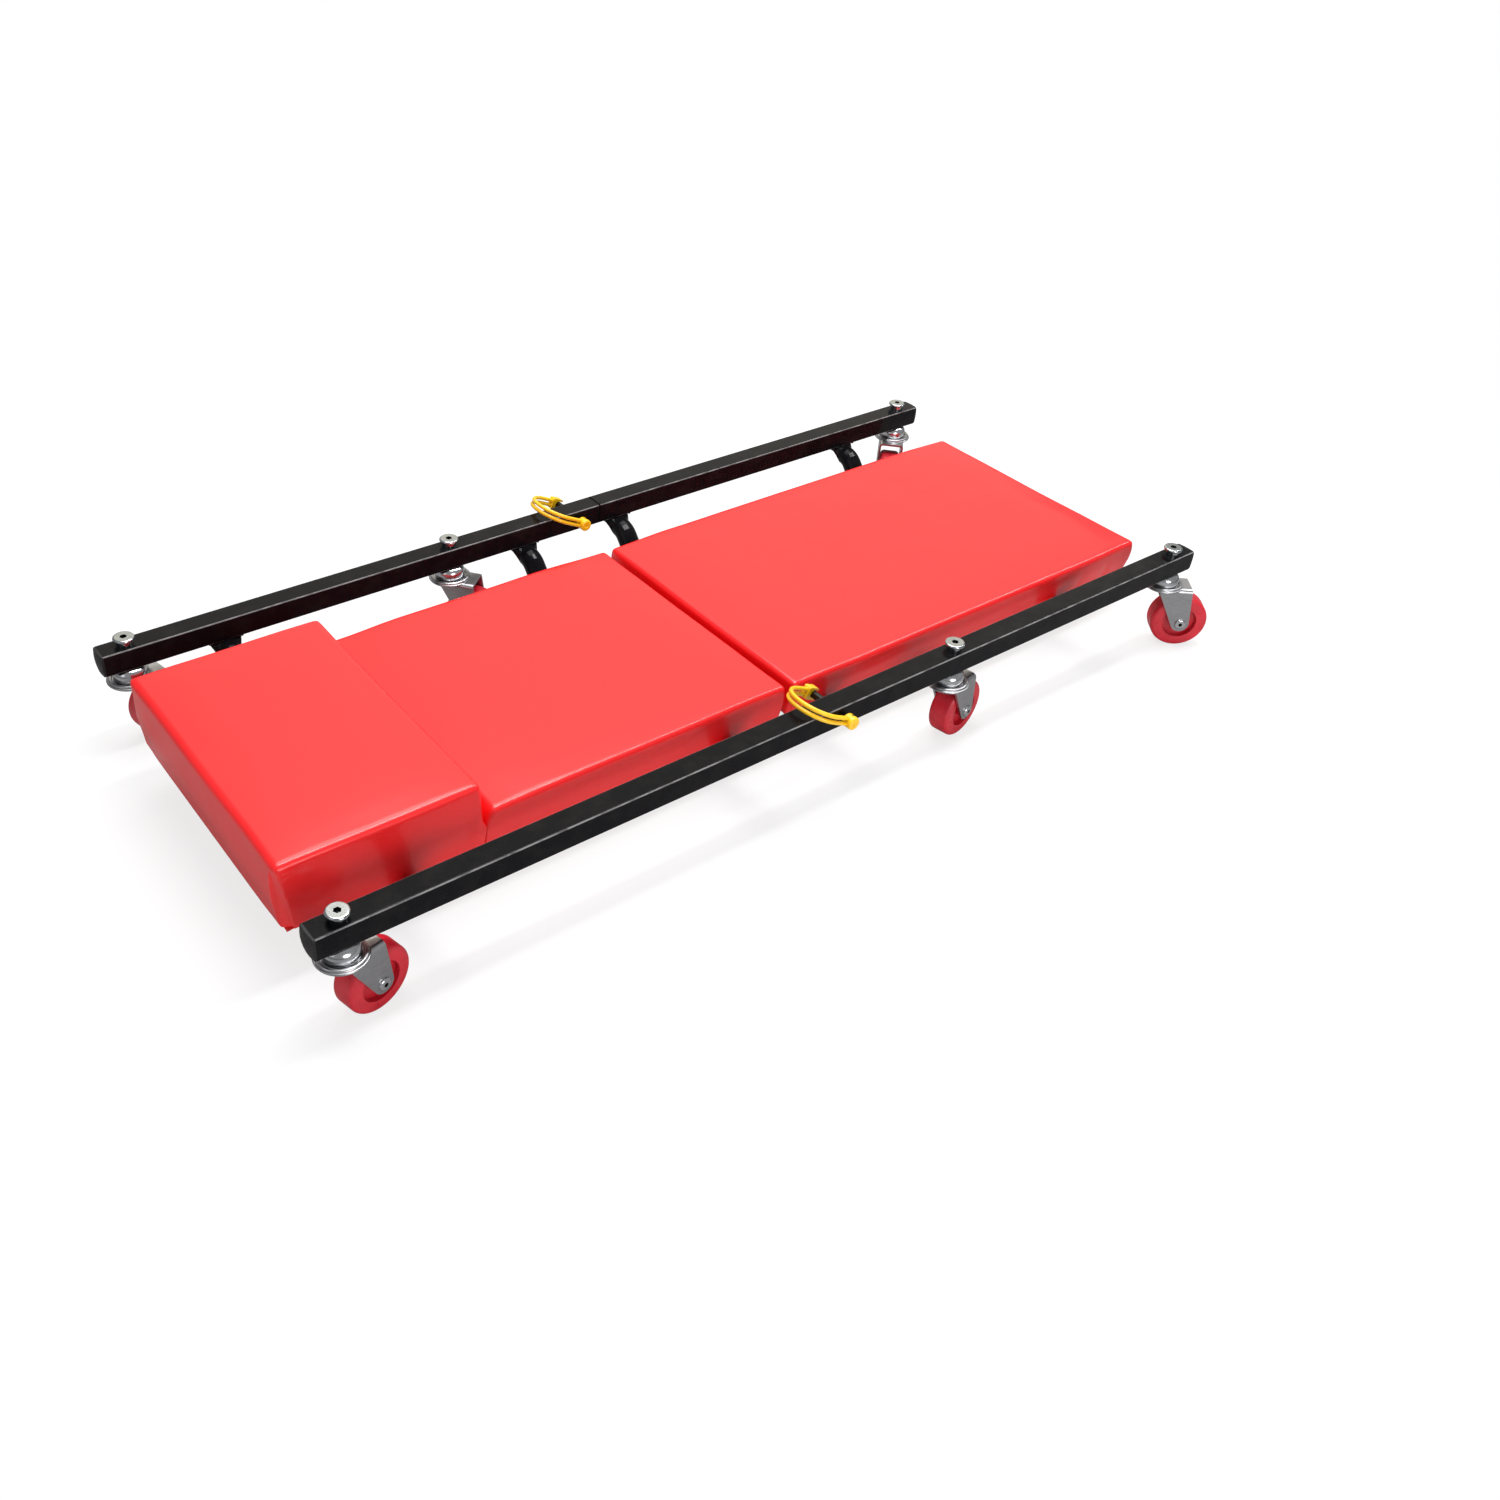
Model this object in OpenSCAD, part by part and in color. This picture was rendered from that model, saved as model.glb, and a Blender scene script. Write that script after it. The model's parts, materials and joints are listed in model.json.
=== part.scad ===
// Mechanics creeper: a low padded board on six swivel casters, in two halves that plug
// together. The head is at -X, the feet at +X, the user's left at +Y, and Z is up. The
// origin lies on the ground, in the middle. All sizes are in millimetres.

/* [Overall] */
// Length over the end caps
overall_length = 879; // [840:1:960]
// Width over the outer faces of the two rails
overall_width = 373; // [366:1:440]
// Height from the ground to the top of the cap nuts
overall_height = 99; // [97:0.5:112]

/* [Rails] */
// Outside size of the square rail tube
rail_size = 19; // [18:0.5:22]
// Wall of the rail tube
rail_wall = 1.2; // [1:0.1:1.6]
// Outside corner radius of the rail tube
rail_corner = 1.6; // [1.2:0.1:2.5]
// Where the head half meets the foot half
seam_x = 24; // [20:1:32]
// Wall of the sleeve inside each joint
sleeve_wall = 1.5; // [1.2:0.1:2]
// Outside corner radius of the sleeve
sleeve_corner = 1; // [0.8:0.1:1.6]
// How far the sleeve reaches to each side of the seam
sleeve_reach = 60; // [45:1:66]
// How far a tube end cap stands past its tube
cap_crown = 3; // [2.5:0.1:4]
// Radius of the domed face of an end cap
cap_dome = 45; // [40:1:80]
// Corner radius of an end cap
cap_corner = 2.4; // [1.8:0.1:3]
// Length of the plug that holds an end cap in its tube
cap_plug = 11; // [6:0.5:12]
// Wall of that plug
cap_wall = 1.6; // [1.2:0.1:2.4]

/* [Cross tubes] */
// Diameter of the round cross tubes
tube_dia = 19; // [16:0.5:20]
// Wall of the cross tubes
tube_wall = 1.5; // [1.2:0.1:2]
// Slope of the tube's legs
tube_slope = 48; // [44:1:55]
// Bend radius on the tube's centre line
tube_bend = 14; // [13:0.5:15]
// How far the boards' underside lies below the rails
deck_drop = 33; // [31:0.5:36]
// Length of the flattened tube end under a rail
paddle_length = 7; // [5:0.5:14]
// Thickness of the flattened tube end
paddle_thick = 6; // [5:0.5:8]
// Width of the flattened tube end
paddle_width = 26; // [23:0.5:28]
// Length over which the tube changes from round to flat
paddle_blend = 6; // [4:0.5:8]
// How far inside a rail's face the tube turns level
tube_shoulder = 2.5; // [1:0.5:5]
// How far the straight bores run on into the bends
bore_overrun = 4; // [3:0.5:5]
// Outermost cross tube of the head half, from the head end
head_tube_inset = 100; // [90:1:120]
// Outermost cross tube of the foot half, from the foot end
foot_tube_inset = 103.5; // [90:0.5:120]
// Inner cross tube of the head half, from the seam
head_inner_tube = 79.6; // [72:0.1:90]
// Inner cross tube of the foot half, from the seam
foot_inner_tube = 23; // [18:0.5:40]

/* [Boards and pads] */
// Width of each pad
pad_width = 243; // [230:1:246]
// Length of the headrest pad
headrest_length = 152; // [140:1:170]
// Gap from the head end to the headrest pad
head_pad_inset = 9.5; // [4:0.5:16]
// Gap from the foot end to the leg pad
foot_pad_inset = 2.5; // [1:0.5:12]
// Middle of the gap between the back pad and the leg pad
pad_gap_x = 3; // [0:0.5:8]
// Gap between the back pad and the leg pad
pad_gap = 6; // [3:0.5:12]
// Top of the headrest pad above the rails
headrest_rise = 5; // [0:0.5:14]
// Top of the back pad below the rails
back_drop = 24; // [16:0.5:28]
// Top of the leg pad below the rails
leg_drop = 21; // [14:0.5:26]
// Radius along the top edges of a pad
pad_edge = 8; // [4:0.5:10]
// Radius along the bottom edges of a pad
pad_hem = 2.5; // [1:0.5:4]
// Radius of a pad's upright corners
pad_corner = 9; // [5:0.5:14]
// Thickness of the boards inside the pads
board_thick = 9; // [7:0.5:12]
// Thickness of the padding around the edge of a board
pad_skirt = 4; // [3:0.5:8]
// Gap between the headrest pad and the back pad
pad_seam = 0.4; // [0.3:0.1:1]

/* [Pad fixings] */
// Thread diameter of the pad bolts
bolt_dia = 6; // [5:0.5:6]
// Head diameter of the pad bolts
bolt_head_dia = 12; // [10:0.5:14]
// Head height of the pad bolts
bolt_head_height = 3.2; // [2.5:0.1:4]
// Distance between the two bolts of one cross tube
bolt_spacing = 150; // [120:1:190]
// Flange diameter of the tee nuts in the boards
tee_dia = 17; // [14:0.5:20]
// Flange thickness of the tee nuts
tee_thick = 1.2; // [1:0.1:1.5]
// Barrel diameter of the tee nuts
tee_barrel = 8; // [7.5:0.1:9]

/* [Casters] */
// Gap between the top of a wheel and the crown of its fork
wheel_gap = 8.5; // [6:0.5:12]
// Width of the tread
wheel_width = 19; // [17:0.5:20]
// Edge radius of the tread
wheel_edge = 3.5; // [2:0.5:5]
// Diameter of the recess in each side of a wheel
wheel_recess_dia = 31; // [26:0.5:36]
// Thickness of the web in that recess
wheel_web = 10; // [7:0.5:14]
// Diameter of the wheel's hub
hub_dia = 13.5; // [12.5:0.5:18]
// How far the hub stands out past the tread on each side
hub_stand = 0.8; // [0.4:0.1:1.5]
// Gap between the hub and the fork on each side
hub_side = 0.2; // [0.1:0.05:0.4]
// Distance from the swivel axis to the axle
caster_trail = 22; // [20:0.5:25]
// Thickness of the fork's sheet steel
fork_sheet = 2; // [1.5:0.1:2.5]
// Outside bend radius of the fork's shoulders
fork_bend = 3.5; // [3:0.1:5]
// Radius of the fork leg's rounded end
fork_end = 8; // [7.5:0.5:9.5]
// Start of the fork leg's top edge, behind the swivel axis
fork_back = 7; // [4:0.5:10]
// End of the fork leg's top edge, past the axle
fork_lip = 3; // [1:0.5:5]
// Diameter of the fork's round crown
crown_dia = 37; // [35:0.5:42]
// Radius at which the raised bead runs round the crown
bead_radius = 15.7; // [15.5:0.1:16.5]
// Radius of the raised bead itself
bead_size = 1.7; // [1.2:0.1:1.9]
// Height of the swivel cup, from the rail to the fork's crown
cup_height = 11.5; // [10:0.5:13]
// Diameter of the swivel cup
cup_dia = 26; // [25.5:0.1:27]
// Wall of the swivel cup's skirt
cup_wall = 1.2; // [1:0.1:1.4]
// Diameter of the bearing balls
ball_dia = 4; // [3:0.1:4.4]
// Number of balls in each swivel
ball_count = 12; // [8:1:13]
// Axle diameter
axle_dia = 6; // [5:0.5:6]
// Diameter of the rolled heads of the axle
axle_head_dia = 10.4; // [9:0.1:12]
// Thickness of the rolled heads of the axle
axle_head = 1.8; // [1.4:0.1:2.5]
// Bore through the hollow axle
axle_bore = 3.4; // [2.5:0.1:3.8]
// Outside diameter of the bush that the wheel turns on
bush_dia = 9; // [8:0.1:9.5]

/* [Caster bolts] */
// Diameter of the swivel stems
stem_dia = 8; // [7:0.5:9]
// Diameter of the stem's bottom washer
stem_washer_dia = 17; // [14:0.5:20]
// Thickness of the stem's bottom washer
stem_washer = 1.3; // [1:0.1:2]
// Width across flats of the stem's hexagon
stem_hex = 11; // [10:0.5:13]
// Height of the stem's hexagon
stem_hex_height = 3.5; // [2.5:0.1:4]
// Height of a cap nut above its rail
nut_height = 7; // [6:0.5:9]
// Diameter of a cap nut's disc
nut_dia = 16.5; // [14:0.5:18]
// Thickness of a cap nut's disc
nut_disc = 3; // [2.5:0.1:3.4]
// Diameter of a cap nut's barrel
nut_barrel = 12; // [11:0.5:13]
// Width across flats of the socket in a cap nut
nut_socket = 5; // [4:0.5:6]
// Depth of the socket in a cap nut
nut_socket_depth = 2.2; // [1.5:0.1:2.4]

/* [Caster places] */
// End casters: swivel axis from the end of the creeper
caster_inset = 23; // [21:0.5:30]
// Middle casters: swivel axis from the middle of the creeper
mid_caster_x = 130; // [125:1:150]
// Resting direction of the head right wheel
head_right_turn = 13; // [-180:1:180]
// Resting direction of the middle right wheel
mid_right_turn = 10; // [-180:1:180]
// Resting direction of the foot right wheel
foot_right_turn = -40; // [-180:1:180]
// Resting direction of the head left wheel
head_left_turn = 12; // [-180:1:180]
// Resting direction of the middle left wheel
mid_left_turn = -50; // [-180:1:180]
// Resting direction of the foot left wheel
foot_left_turn = -135; // [-180:1:180]

/* [Lock pins] */
// Where the lock pins cross the rails
pin_x = 1; // [-6:0.5:6]
// Diameter of the lock pins
pin_dia = 6.4; // [5.5:0.1:6.6]
// Gap that the turning boss of the bail leaves to the rail
boss_gap = 0.6; // [0.3:0.1:2]
// Thickness of the flattened tang on the lock pin
tang_thick = 4; // [3.5:0.1:4.4]
// Diameter of the rivet that the bail swings on
rivet_dia = 3; // [2.5:0.1:3.4]
// Diameter of the boss at the bail's pivot end
boss_dia = 10.8; // [10.4:0.1:11.2]
// How far the boss reaches past the pivot, away from the rail
boss_out = 5; // [4.6:0.1:5.5]
// How far the boss reaches past the pivot, towards the rail
boss_in = 4.2; // [3.6:0.1:4.4]
// Wire diameter of the bail's two strands
strand_dia = 3.4; // [2.8:0.1:3.6]
// Distance between the centres of the two strands
strand_pitch = 4.6; // [4.2:0.1:5]
// Straight length of the strands beside the bend
strand_straight = 17.5; // [16:0.5:22]
// Tilt of the bail above the level, towards the head
bail_tilt = 26; // [26:0.5:30]
// Distance from the rail to the middle of the bail's clip
clip_reach = 18; // [18:0.5:22]
// Width of the clip along the pin
clip_width = 6.4; // [5:0.1:7]
// Height of the clip across the pin
clip_height = 10.6; // [10:0.1:11.5]
// How far the clip hooks past the pin's middle
clip_hook = 3.6; // [2.5:0.1:4.5]
// How far the clip reaches from the pin's middle to the strands
clip_back = 7.2; // [6.5:0.1:9]

/* [Fits] */
// Radial clearance of what turns or slides on a pin
run = 0.06; // [0.03:0.01:0.1]
// Radial clearance of what is fastened on or in a hole
seat = 0.05; // [0.02:0.01:0.1]
// Clearance between parts that pass each other
pass = 0.3; // [0.3:0.05:0.45]

/* [Hidden] */
$fn = 48;
eps = 0.01;
rail_y = (overall_width - rail_size) / 2;
rail_top = overall_height - nut_height;
rail_bottom = rail_top - rail_size;
rail_middle = rail_top - rail_size / 2;
rail_end = overall_length / 2 - cap_crown;
bore_size = rail_size - 2 * rail_wall;
deck_z = rail_bottom - deck_drop;
tube_z = deck_z - tube_dia / 2;
head_pad_end = -overall_length / 2 + head_pad_inset;
headrest_foot = head_pad_end + headrest_length;
back_foot = pad_gap_x - pad_gap / 2;
leg_head = pad_gap_x + pad_gap / 2;
leg_foot = overall_length / 2 - foot_pad_inset;
back_top = rail_top - back_drop;
leg_top = rail_top - leg_drop;
headrest_top = rail_top + headrest_rise;
crown_top = rail_bottom - cup_height;
crown_bottom = crown_top - fork_sheet;
fork_gap = wheel_width + 2 * hub_stand + 2 * hub_side;
fork_width = fork_gap + 2 * fork_sheet;
wheel_r = (crown_bottom - wheel_gap) / 2;
ball_ring = cup_dia / 2 - cup_wall - ball_dia / 2 - pass / 3;
pivot_v = -rail_size / 2 - boss_gap - norm([boss_dia / 2, boss_in]);
clip_v = rail_size / 2 + clip_reach;
bend_r = (clip_v - pivot_v) / 2;
end_x = overall_length / 2 - caster_inset;
tube_xs = [
    -overall_length / 2 + head_tube_inset,
    seam_x - head_inner_tube,
    seam_x + foot_inner_tube,
    overall_length / 2 - foot_tube_inset
];
// name, x, y and resting direction of each caster; the right-hand side is -Y
CASTERS = [
    ["head_right", -end_x, -rail_y, head_right_turn],
    ["mid_right", mid_caster_x, -rail_y, mid_right_turn],
    ["foot_right", end_x, -rail_y, foot_right_turn],
    ["head_left", -end_x, rail_y, head_left_turn],
    ["mid_left", -mid_caster_x, rail_y, mid_left_turn],
    ["foot_left", end_x, rail_y, foot_left_turn]
];
// name, y of the rail, x of that rail's middle caster
SIDES = [["right", -rail_y, mid_caster_x], ["left", rail_y, -mid_caster_x]];

// ---- outlines ----

// A rectangle between two corners, with one radius at its top and one at its bottom.
module soft_box_2d(low, high, r_top, r_low) {
    translate([low[0], low[1] + r_low])
        square([high[0] - low[0], high[1] - low[1] - r_low - r_top]);
    translate([low[0] + r_top, high[1] - r_top - eps])
        square([high[0] - low[0] - 2 * r_top, r_top + eps]);
    translate([low[0] + r_low, low[1]])
        square([high[0] - low[0] - 2 * r_low, r_low + eps]);
    for (x = [low[0] + r_top, high[0] - r_top]) translate([x, high[1] - r_top]) circle(r_top);
    for (x = [low[0] + r_low, high[0] - r_low]) translate([x, low[1] + r_low]) circle(r_low);
}

module round_square_2d(size, r) {
    soft_box_2d([-size / 2, -size / 2], [size / 2, size / 2], r, r);
}

// The inside of a bent sheet or a tube, as an outline in Y and Z extruded along X.
module along_x(length) rotate([90, 0, 90]) linear_extrude(length) children();

// An outline in X and Z extruded along Y, centred.
module along_y(length) rotate([90, 0, 0]) linear_extrude(length, center = true) children();

// Point where a line from p touches the circle round c, on the side given by turn.
function touch(p, c, r, turn) =
    let (toward = atan2(p[1] - c[1], p[0] - c[0]), open = acos(r / norm(p - c)))
    c + r * [cos(toward + turn * open), sin(toward + turn * open)];

// ---- rails ----

module rail(x0, x1, y, caster_xs, pin_xs) {
    color("#161616")
    difference() {
        translate([x0, y, rail_middle]) along_x(x1 - x0) difference() {
            round_square_2d(rail_size, rail_corner);
            round_square_2d(bore_size, rail_corner - rail_wall + eps);
        }
        for (x = caster_xs) translate([x, y, rail_bottom - 1])
            cylinder(r = stem_dia / 2 + seat, h = rail_size + 2);
        for (x = pin_xs) pin_hole(x, y);
    }
}

module pin_hole(x, y) {
    translate([x, y, rail_middle]) rotate([90, 0, 0])
        cylinder(r = pin_dia / 2 + run, h = rail_size + 2, center = true);
}

module head_rail(s) {
    rail(-rail_end, seam_x, s[1], s[2] < 0 ? [-end_x, s[2]] : [-end_x], [pin_x]);
}

module foot_rail(s) {
    rail(seam_x + pass / 3, rail_end, s[1], s[2] > 0 ? [s[2], end_x] : [end_x], []);
}

// The sleeve is plug-welded into the foot rail and slides into the head rail.
module rail_sleeve(s) {
    outer = bore_size - pass;
    color("#3a3a3c")
    difference() {
        translate([seam_x - sleeve_reach, s[1], rail_middle]) along_x(2 * sleeve_reach)
            difference() {
                round_square_2d(outer, sleeve_corner);
                round_square_2d(outer - 2 * sleeve_wall, sleeve_corner / 2);
            }
        pin_hole(pin_x, s[1]);
    }
}

module end_cap() {
    plug = bore_size - 2 * seat;
    intersection() {
        translate([-eps, 0, 0]) along_x(cap_crown + eps) round_square_2d(rail_size, cap_corner);
        translate([cap_crown - cap_dome, 0, 0]) sphere(cap_dome, $fn = 96);
    }
    translate([-cap_plug, 0, 0]) along_x(cap_plug) difference() {
        round_square_2d(plug, cap_wall / 2);
        round_square_2d(plug - 2 * cap_wall, cap_wall / 3);
    }
}

module rail_end_caps() {
    color("#0d0d0d")
    for (s = SIDES, end = [-1, 1])
        translate([end * rail_end, s[1], rail_middle]) rotate([0, 0, end < 0 ? 180 : 0])
            end_cap();
}

// ---- cross tubes ----

leg_rise = rail_bottom - deck_z;
bend_rise = 2 * tube_bend * (1 - cos(tube_slope));
leg_length = (leg_rise - bend_rise) / sin(tube_slope);
leg_run = leg_length * cos(tube_slope) + 2 * tube_bend * sin(tube_slope);
shoulder_y = rail_y - rail_size / 2 - tube_shoulder;
flat_half = shoulder_y - leg_run;
bend_steps = 4;
tube_sides = 24;

// Stations of the tube's centre line beside the rail, from the middle outwards: each is
// y, z, slope and how far the tube is pressed flat there, from 0 to 1.
low_bend = [for (k = [0 : bend_steps]) let (a = k * tube_slope / bend_steps)
    [flat_half + tube_bend * sin(a), tube_bend * (1 - cos(a)), a, 0]];
high_bend = [for (k = [bend_steps : -1 : 0]) let (a = k * tube_slope / bend_steps)
    [shoulder_y - tube_bend * sin(a), leg_rise - tube_bend * (1 - cos(a)), a, 0]];
pressed = [
    [shoulder_y + paddle_blend / 2, leg_rise, 0, 0.55],
    [shoulder_y + paddle_blend, leg_rise, 0, 1],
    [shoulder_y + paddle_blend + paddle_length, leg_rise, 0, 1]
];

// The same stations on both sides, from one end of the tube to the other.
function both_sides(half) = concat(
    [for (k = [len(half) - 1 : -1 : 0]) [-half[k][0], half[k][1], -half[k][2], half[k][3]]],
    half);

// A point of the tube's cross-section, round with radius r or pressed flat.
function section(angle, r, flat) = let (
    round_pt = r * [cos(angle), sin(angle)],
    flat_pt = [paddle_width / 2 * cos(angle),
               paddle_thick / 2 * clamp(1.6 * sin(angle)) + r - paddle_thick / 2]
) (1 - flat) * round_pt + flat * flat_pt;

function clamp(v) = max(-1, min(1, v));

// A tube swept through its stations.
module swept(stations, r) {
    n = tube_sides;
    last = len(stations) - 1;
    points = [for (s = stations, k = [0 : n - 1]) let (q = section(k * 360 / n, r, s[3]))
        [q[0], s[0] - q[1] * sin(s[2]), s[1] + q[1] * cos(s[2])]];
    sides = [for (i = [0 : last - 1], k = [0 : n - 1])
        let (a = i * n + k, b = i * n + (k + 1) % n) each [[a, b, a + n], [b, b + n, a + n]]];
    polyhedron(points, concat(
        [[for (k = [n - 1 : -1 : 0]) k]],
        sides,
        [[for (k = [0 : n - 1]) last * n + k]]));
}

// A bent tube with its ends pressed flat into paddles, which are welded under the rails.
module cross_tube(x) {
    color("#111111")
    translate([x, 0, tube_z]) difference() {
        swept(both_sides(concat(low_bend, high_bend, pressed)), tube_dia / 2);
        tube_bores();
        for (y = [-1, 1] * bolt_spacing / 2) translate([0, y, 0])
            cylinder(r = bolt_dia / 2 + seat, h = tube_dia + 2, center = true);
    }
}

// The hollow of the level run and of each leg; they meet inside the lower bends.
module tube_bores() {
    r = tube_dia / 2 - tube_wall;
    rotate([90, 0, 0]) cylinder(r = r, h = 2 * (flat_half + bore_overrun), center = true);
    for (side = [0, 180]) rotate([0, 0, side])
        translate([0, low_bend[bend_steps][0], low_bend[bend_steps][1]])
        rotate([tube_slope - 90, 0, 0]) translate([0, 0, -bore_overrun])
            cylinder(r = r, h = leg_length + bore_overrun);
}

// ---- boards, pads and their fixings ----

module board(x0, x1, tubes) {
    half = pad_width / 2 - pad_skirt;
    color("#8a6a45")
    difference() {
        translate([0, 0, deck_z]) linear_extrude(board_thick)
            soft_box_2d([x0, -half], [x1, half], pad_corner - 3, pad_corner - 3);
        for (x = tubes, y = [-1, 1] * bolt_spacing / 2) translate([x, y, deck_z]) {
            translate([0, 0, -1]) cylinder(r = tee_barrel / 2 + seat, h = board_thick + 2);
            translate([0, 0, board_thick - tee_thick - seat])
                cylinder(r = tee_dia / 2 + seat, h = tee_thick + 1);
        }
    }
}

module head_board() {
    board(head_pad_end + pad_skirt, back_foot - pad_skirt, [tube_xs[0], tube_xs[1]]);
}

module foot_board() {
    board(leg_head + pad_skirt, leg_foot - pad_skirt, [tube_xs[2], tube_xs[3]]);
}

module cushion(x0, x1, top, pocket0, pocket1) {
    low = deck_z + 0.5;
    half = pad_width / 2;
    inner = half - pad_skirt + seat;
    color("#d8232f")
    difference() {
        intersection() {
            along_y(pad_width + 2) soft_box_2d([x0, low], [x1, top], pad_edge, pad_hem);
            translate([x0 - 1, 0, 0]) along_x(x1 - x0 + 2)
                soft_box_2d([-half, low], [half, top], pad_edge, pad_hem);
            linear_extrude(top + 1)
                soft_box_2d([x0, -half], [x1, half], pad_corner, pad_corner);
        }
        translate([pocket0, -inner, deck_z - 1])
            cube([pocket1 - pocket0, 2 * inner, board_thick + 1 + seat]);
    }
}

module headrest_pad() {
    cushion(head_pad_end, headrest_foot - pad_seam, headrest_top,
            head_pad_end + pad_skirt - seat, headrest_foot + 1);
}

module back_pad() {
    cushion(headrest_foot, back_foot, back_top,
            headrest_foot - 1, back_foot - pad_skirt + seat);
}

module leg_pad() {
    cushion(leg_head, leg_foot, leg_top,
            leg_head + pad_skirt - seat, leg_foot - pad_skirt + seat);
}

module at_bolts() {
    for (x = tube_xs, y = [-1, 1] * bolt_spacing / 2) translate([x, y, 0]) children();
}

module pad_bolts() {
    under = tube_z - tube_dia / 2;
    tip = deck_z + board_thick - tee_thick;
    color("#c9ccd0")
    at_bolts() {
        translate([0, 0, under - eps]) cylinder(d = bolt_dia, h = tip - under + eps);
        difference() {
            translate([0, 0, under - bolt_head_height])
                cylinder(d1 = bolt_head_dia * 0.8, d2 = bolt_head_dia, h = bolt_head_height);
            translate([0, 0, under - bolt_head_height - eps])
                cylinder(d = bolt_dia * 0.7, h = bolt_head_height * 0.6, $fn = 6);
        }
    }
}

module tee_nuts() {
    color("#c9ccd0")
    at_bolts() difference() {
        union() {
            translate([0, 0, deck_z + 1]) cylinder(d = tee_barrel, h = board_thick - 1);
            translate([0, 0, deck_z + board_thick - tee_thick])
                cylinder(d = tee_dia, h = tee_thick);
        }
        cylinder(r = bolt_dia / 2 + seat, h = deck_z + board_thick + 1);
    }
}

// ---- swivel casters ----

module at_casters() {
    for (c = CASTERS) translate([c[1], c[2], 0]) children();
}

module turned(c) translate([c[1], c[2], 0]) rotate([0, 0, c[3]]) children();

module cap_nuts() {
    disc_r = nut_dia / 2;
    edge = nut_disc / 2;
    color("#d4d7da")
    at_casters() translate([0, 0, rail_top]) difference() {
        union() {
            cylinder(d = nut_barrel, h = nut_height - edge);
            translate([0, 0, nut_height - edge]) rotate_extrude() {
                translate([0, -edge]) square([disc_r - edge, nut_disc]);
                translate([disc_r - edge, 0]) circle(edge);
            }
        }
        translate([0, 0, -eps])
            cylinder(r = stem_dia / 2 + seat, h = nut_height - nut_socket_depth - 1.2);
        translate([0, 0, nut_height - nut_socket_depth])
            cylinder(d = nut_socket / cos(30), h = nut_socket_depth + 1, $fn = 6);
    }
}

module caster_stems() {
    top = rail_top + nut_height - nut_socket_depth - 1.6;
    washer_top = crown_bottom - run;
    color("#c4c7cb")
    at_casters() {
        translate([0, 0, washer_top - stem_washer - eps])
            cylinder(d = stem_dia, h = top - washer_top + stem_washer + eps);
        translate([0, 0, washer_top - stem_washer])
            cylinder(d = stem_washer_dia, h = stem_washer);
        translate([0, 0, washer_top - stem_washer - stem_hex_height])
            cylinder(d = stem_hex / cos(30), h = stem_hex_height + eps, $fn = 6);
    }
}

// The fixed upper half of the swivel: a domed cup that bears on the balls.
module swivel_cups() {
    outer = cup_dia / 2;
    dome = cup_height * 0.55;
    ceiling = crown_top + ball_dia + run;
    color("#d4d7da")
    at_casters() rotate_extrude() difference() {
        union() {
            translate([0, crown_top + 0.6])
                square([outer, rail_bottom - crown_top - 0.6 - dome]);
            square_up(outer - dome, rail_bottom - dome - eps, rail_bottom);
            translate([outer - dome, rail_bottom - dome]) circle(dome);
        }
        translate([-outer, 0]) square([outer + stem_dia / 2 + seat, rail_top]);
        square_up(outer - cup_wall, 0, ceiling);
    }
}

// A rectangle from the axis out to r, between two heights.
module square_up(r, z0, z1) translate([0, z0]) square([r, z1 - z0]);

module bearing_balls() {
    color("#e3e5e8")
    at_casters() for (k = [0 : ball_count - 1]) rotate([0, 0, k * 360 / ball_count])
        translate([ball_ring, 0, crown_top + ball_dia / 2 + run / 2])
            sphere(d = ball_dia, $fn = 24);
}

// The fork is one pressed sheet: a folded channel, trimmed to the legs' outline, with a
// round dished crown that carries the balls.
module fork(c) {
    axle = [caster_trail, wheel_r];
    a = [-fork_back, crown_top];
    b = [caster_trail + fork_lip, crown_top];
    color("#b9bcc0")
    turned(c) difference() {
        union() {
            intersection() {
                translate([-fork_back - 1, 0, 0])
                    along_x(caster_trail + fork_back + fork_end + 6) fork_channel_2d();
                along_y(fork_width + 2) {
                    polygon([a, b, touch(b, axle, fork_end, -1), touch(a, axle, fork_end, 1)]);
                    translate(axle) circle(fork_end);
                }
            }
            rotate_extrude() crown_2d();
        }
        translate([0, 0, crown_bottom - 1])
            cylinder(r = stem_dia / 2 + run, h = fork_sheet + 2);
        translate([axle[0], 0, axle[1]]) rotate([90, 0, 0])
            cylinder(r = axle_dia / 2 + seat, h = fork_width + 2, center = true);
    }
}

module fork_channel_2d() {
    half = fork_width / 2;
    bottom = wheel_r - fork_end - 1;
    difference() {
        soft_box_2d([-half, bottom - fork_bend], [half, crown_top], fork_bend, fork_bend);
        soft_box_2d([-half + fork_sheet, bottom - fork_width], [half - fork_sheet, crown_bottom],
                    fork_bend - fork_sheet, fork_bend - fork_sheet);
    }
}

module crown_2d() {
    brim = crown_dia / 2 - fork_sheet / 2;
    translate([0, crown_bottom]) square([brim, fork_sheet]);
    translate([brim, crown_bottom + fork_sheet / 2]) circle(fork_sheet / 2);
    translate([bead_radius, crown_top]) circle(bead_size);
}

// A hollow rivet with a rolled head at each end.
module axle(c) {
    color("#dadde0")
    turned(c) translate([caster_trail, 0, wheel_r]) rotate([90, 0, 0]) difference() {
        union() {
            cylinder(d = axle_dia, h = fork_width + axle_head, center = true);
            for (end = [0, 180]) rotate([end, 0, 0]) translate([0, 0, fork_width / 2])
                rotate_extrude() {
                    translate([0, 0]) square([axle_head_dia / 2 - axle_head, axle_head]);
                    intersection() {
                        translate([axle_head_dia / 2 - axle_head, 0]) circle(axle_head);
                        square([axle_head_dia, axle_head]);
                    }
                }
        }
        cylinder(d = axle_bore, h = fork_width + 3 * axle_head, center = true);
    }
}

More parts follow.
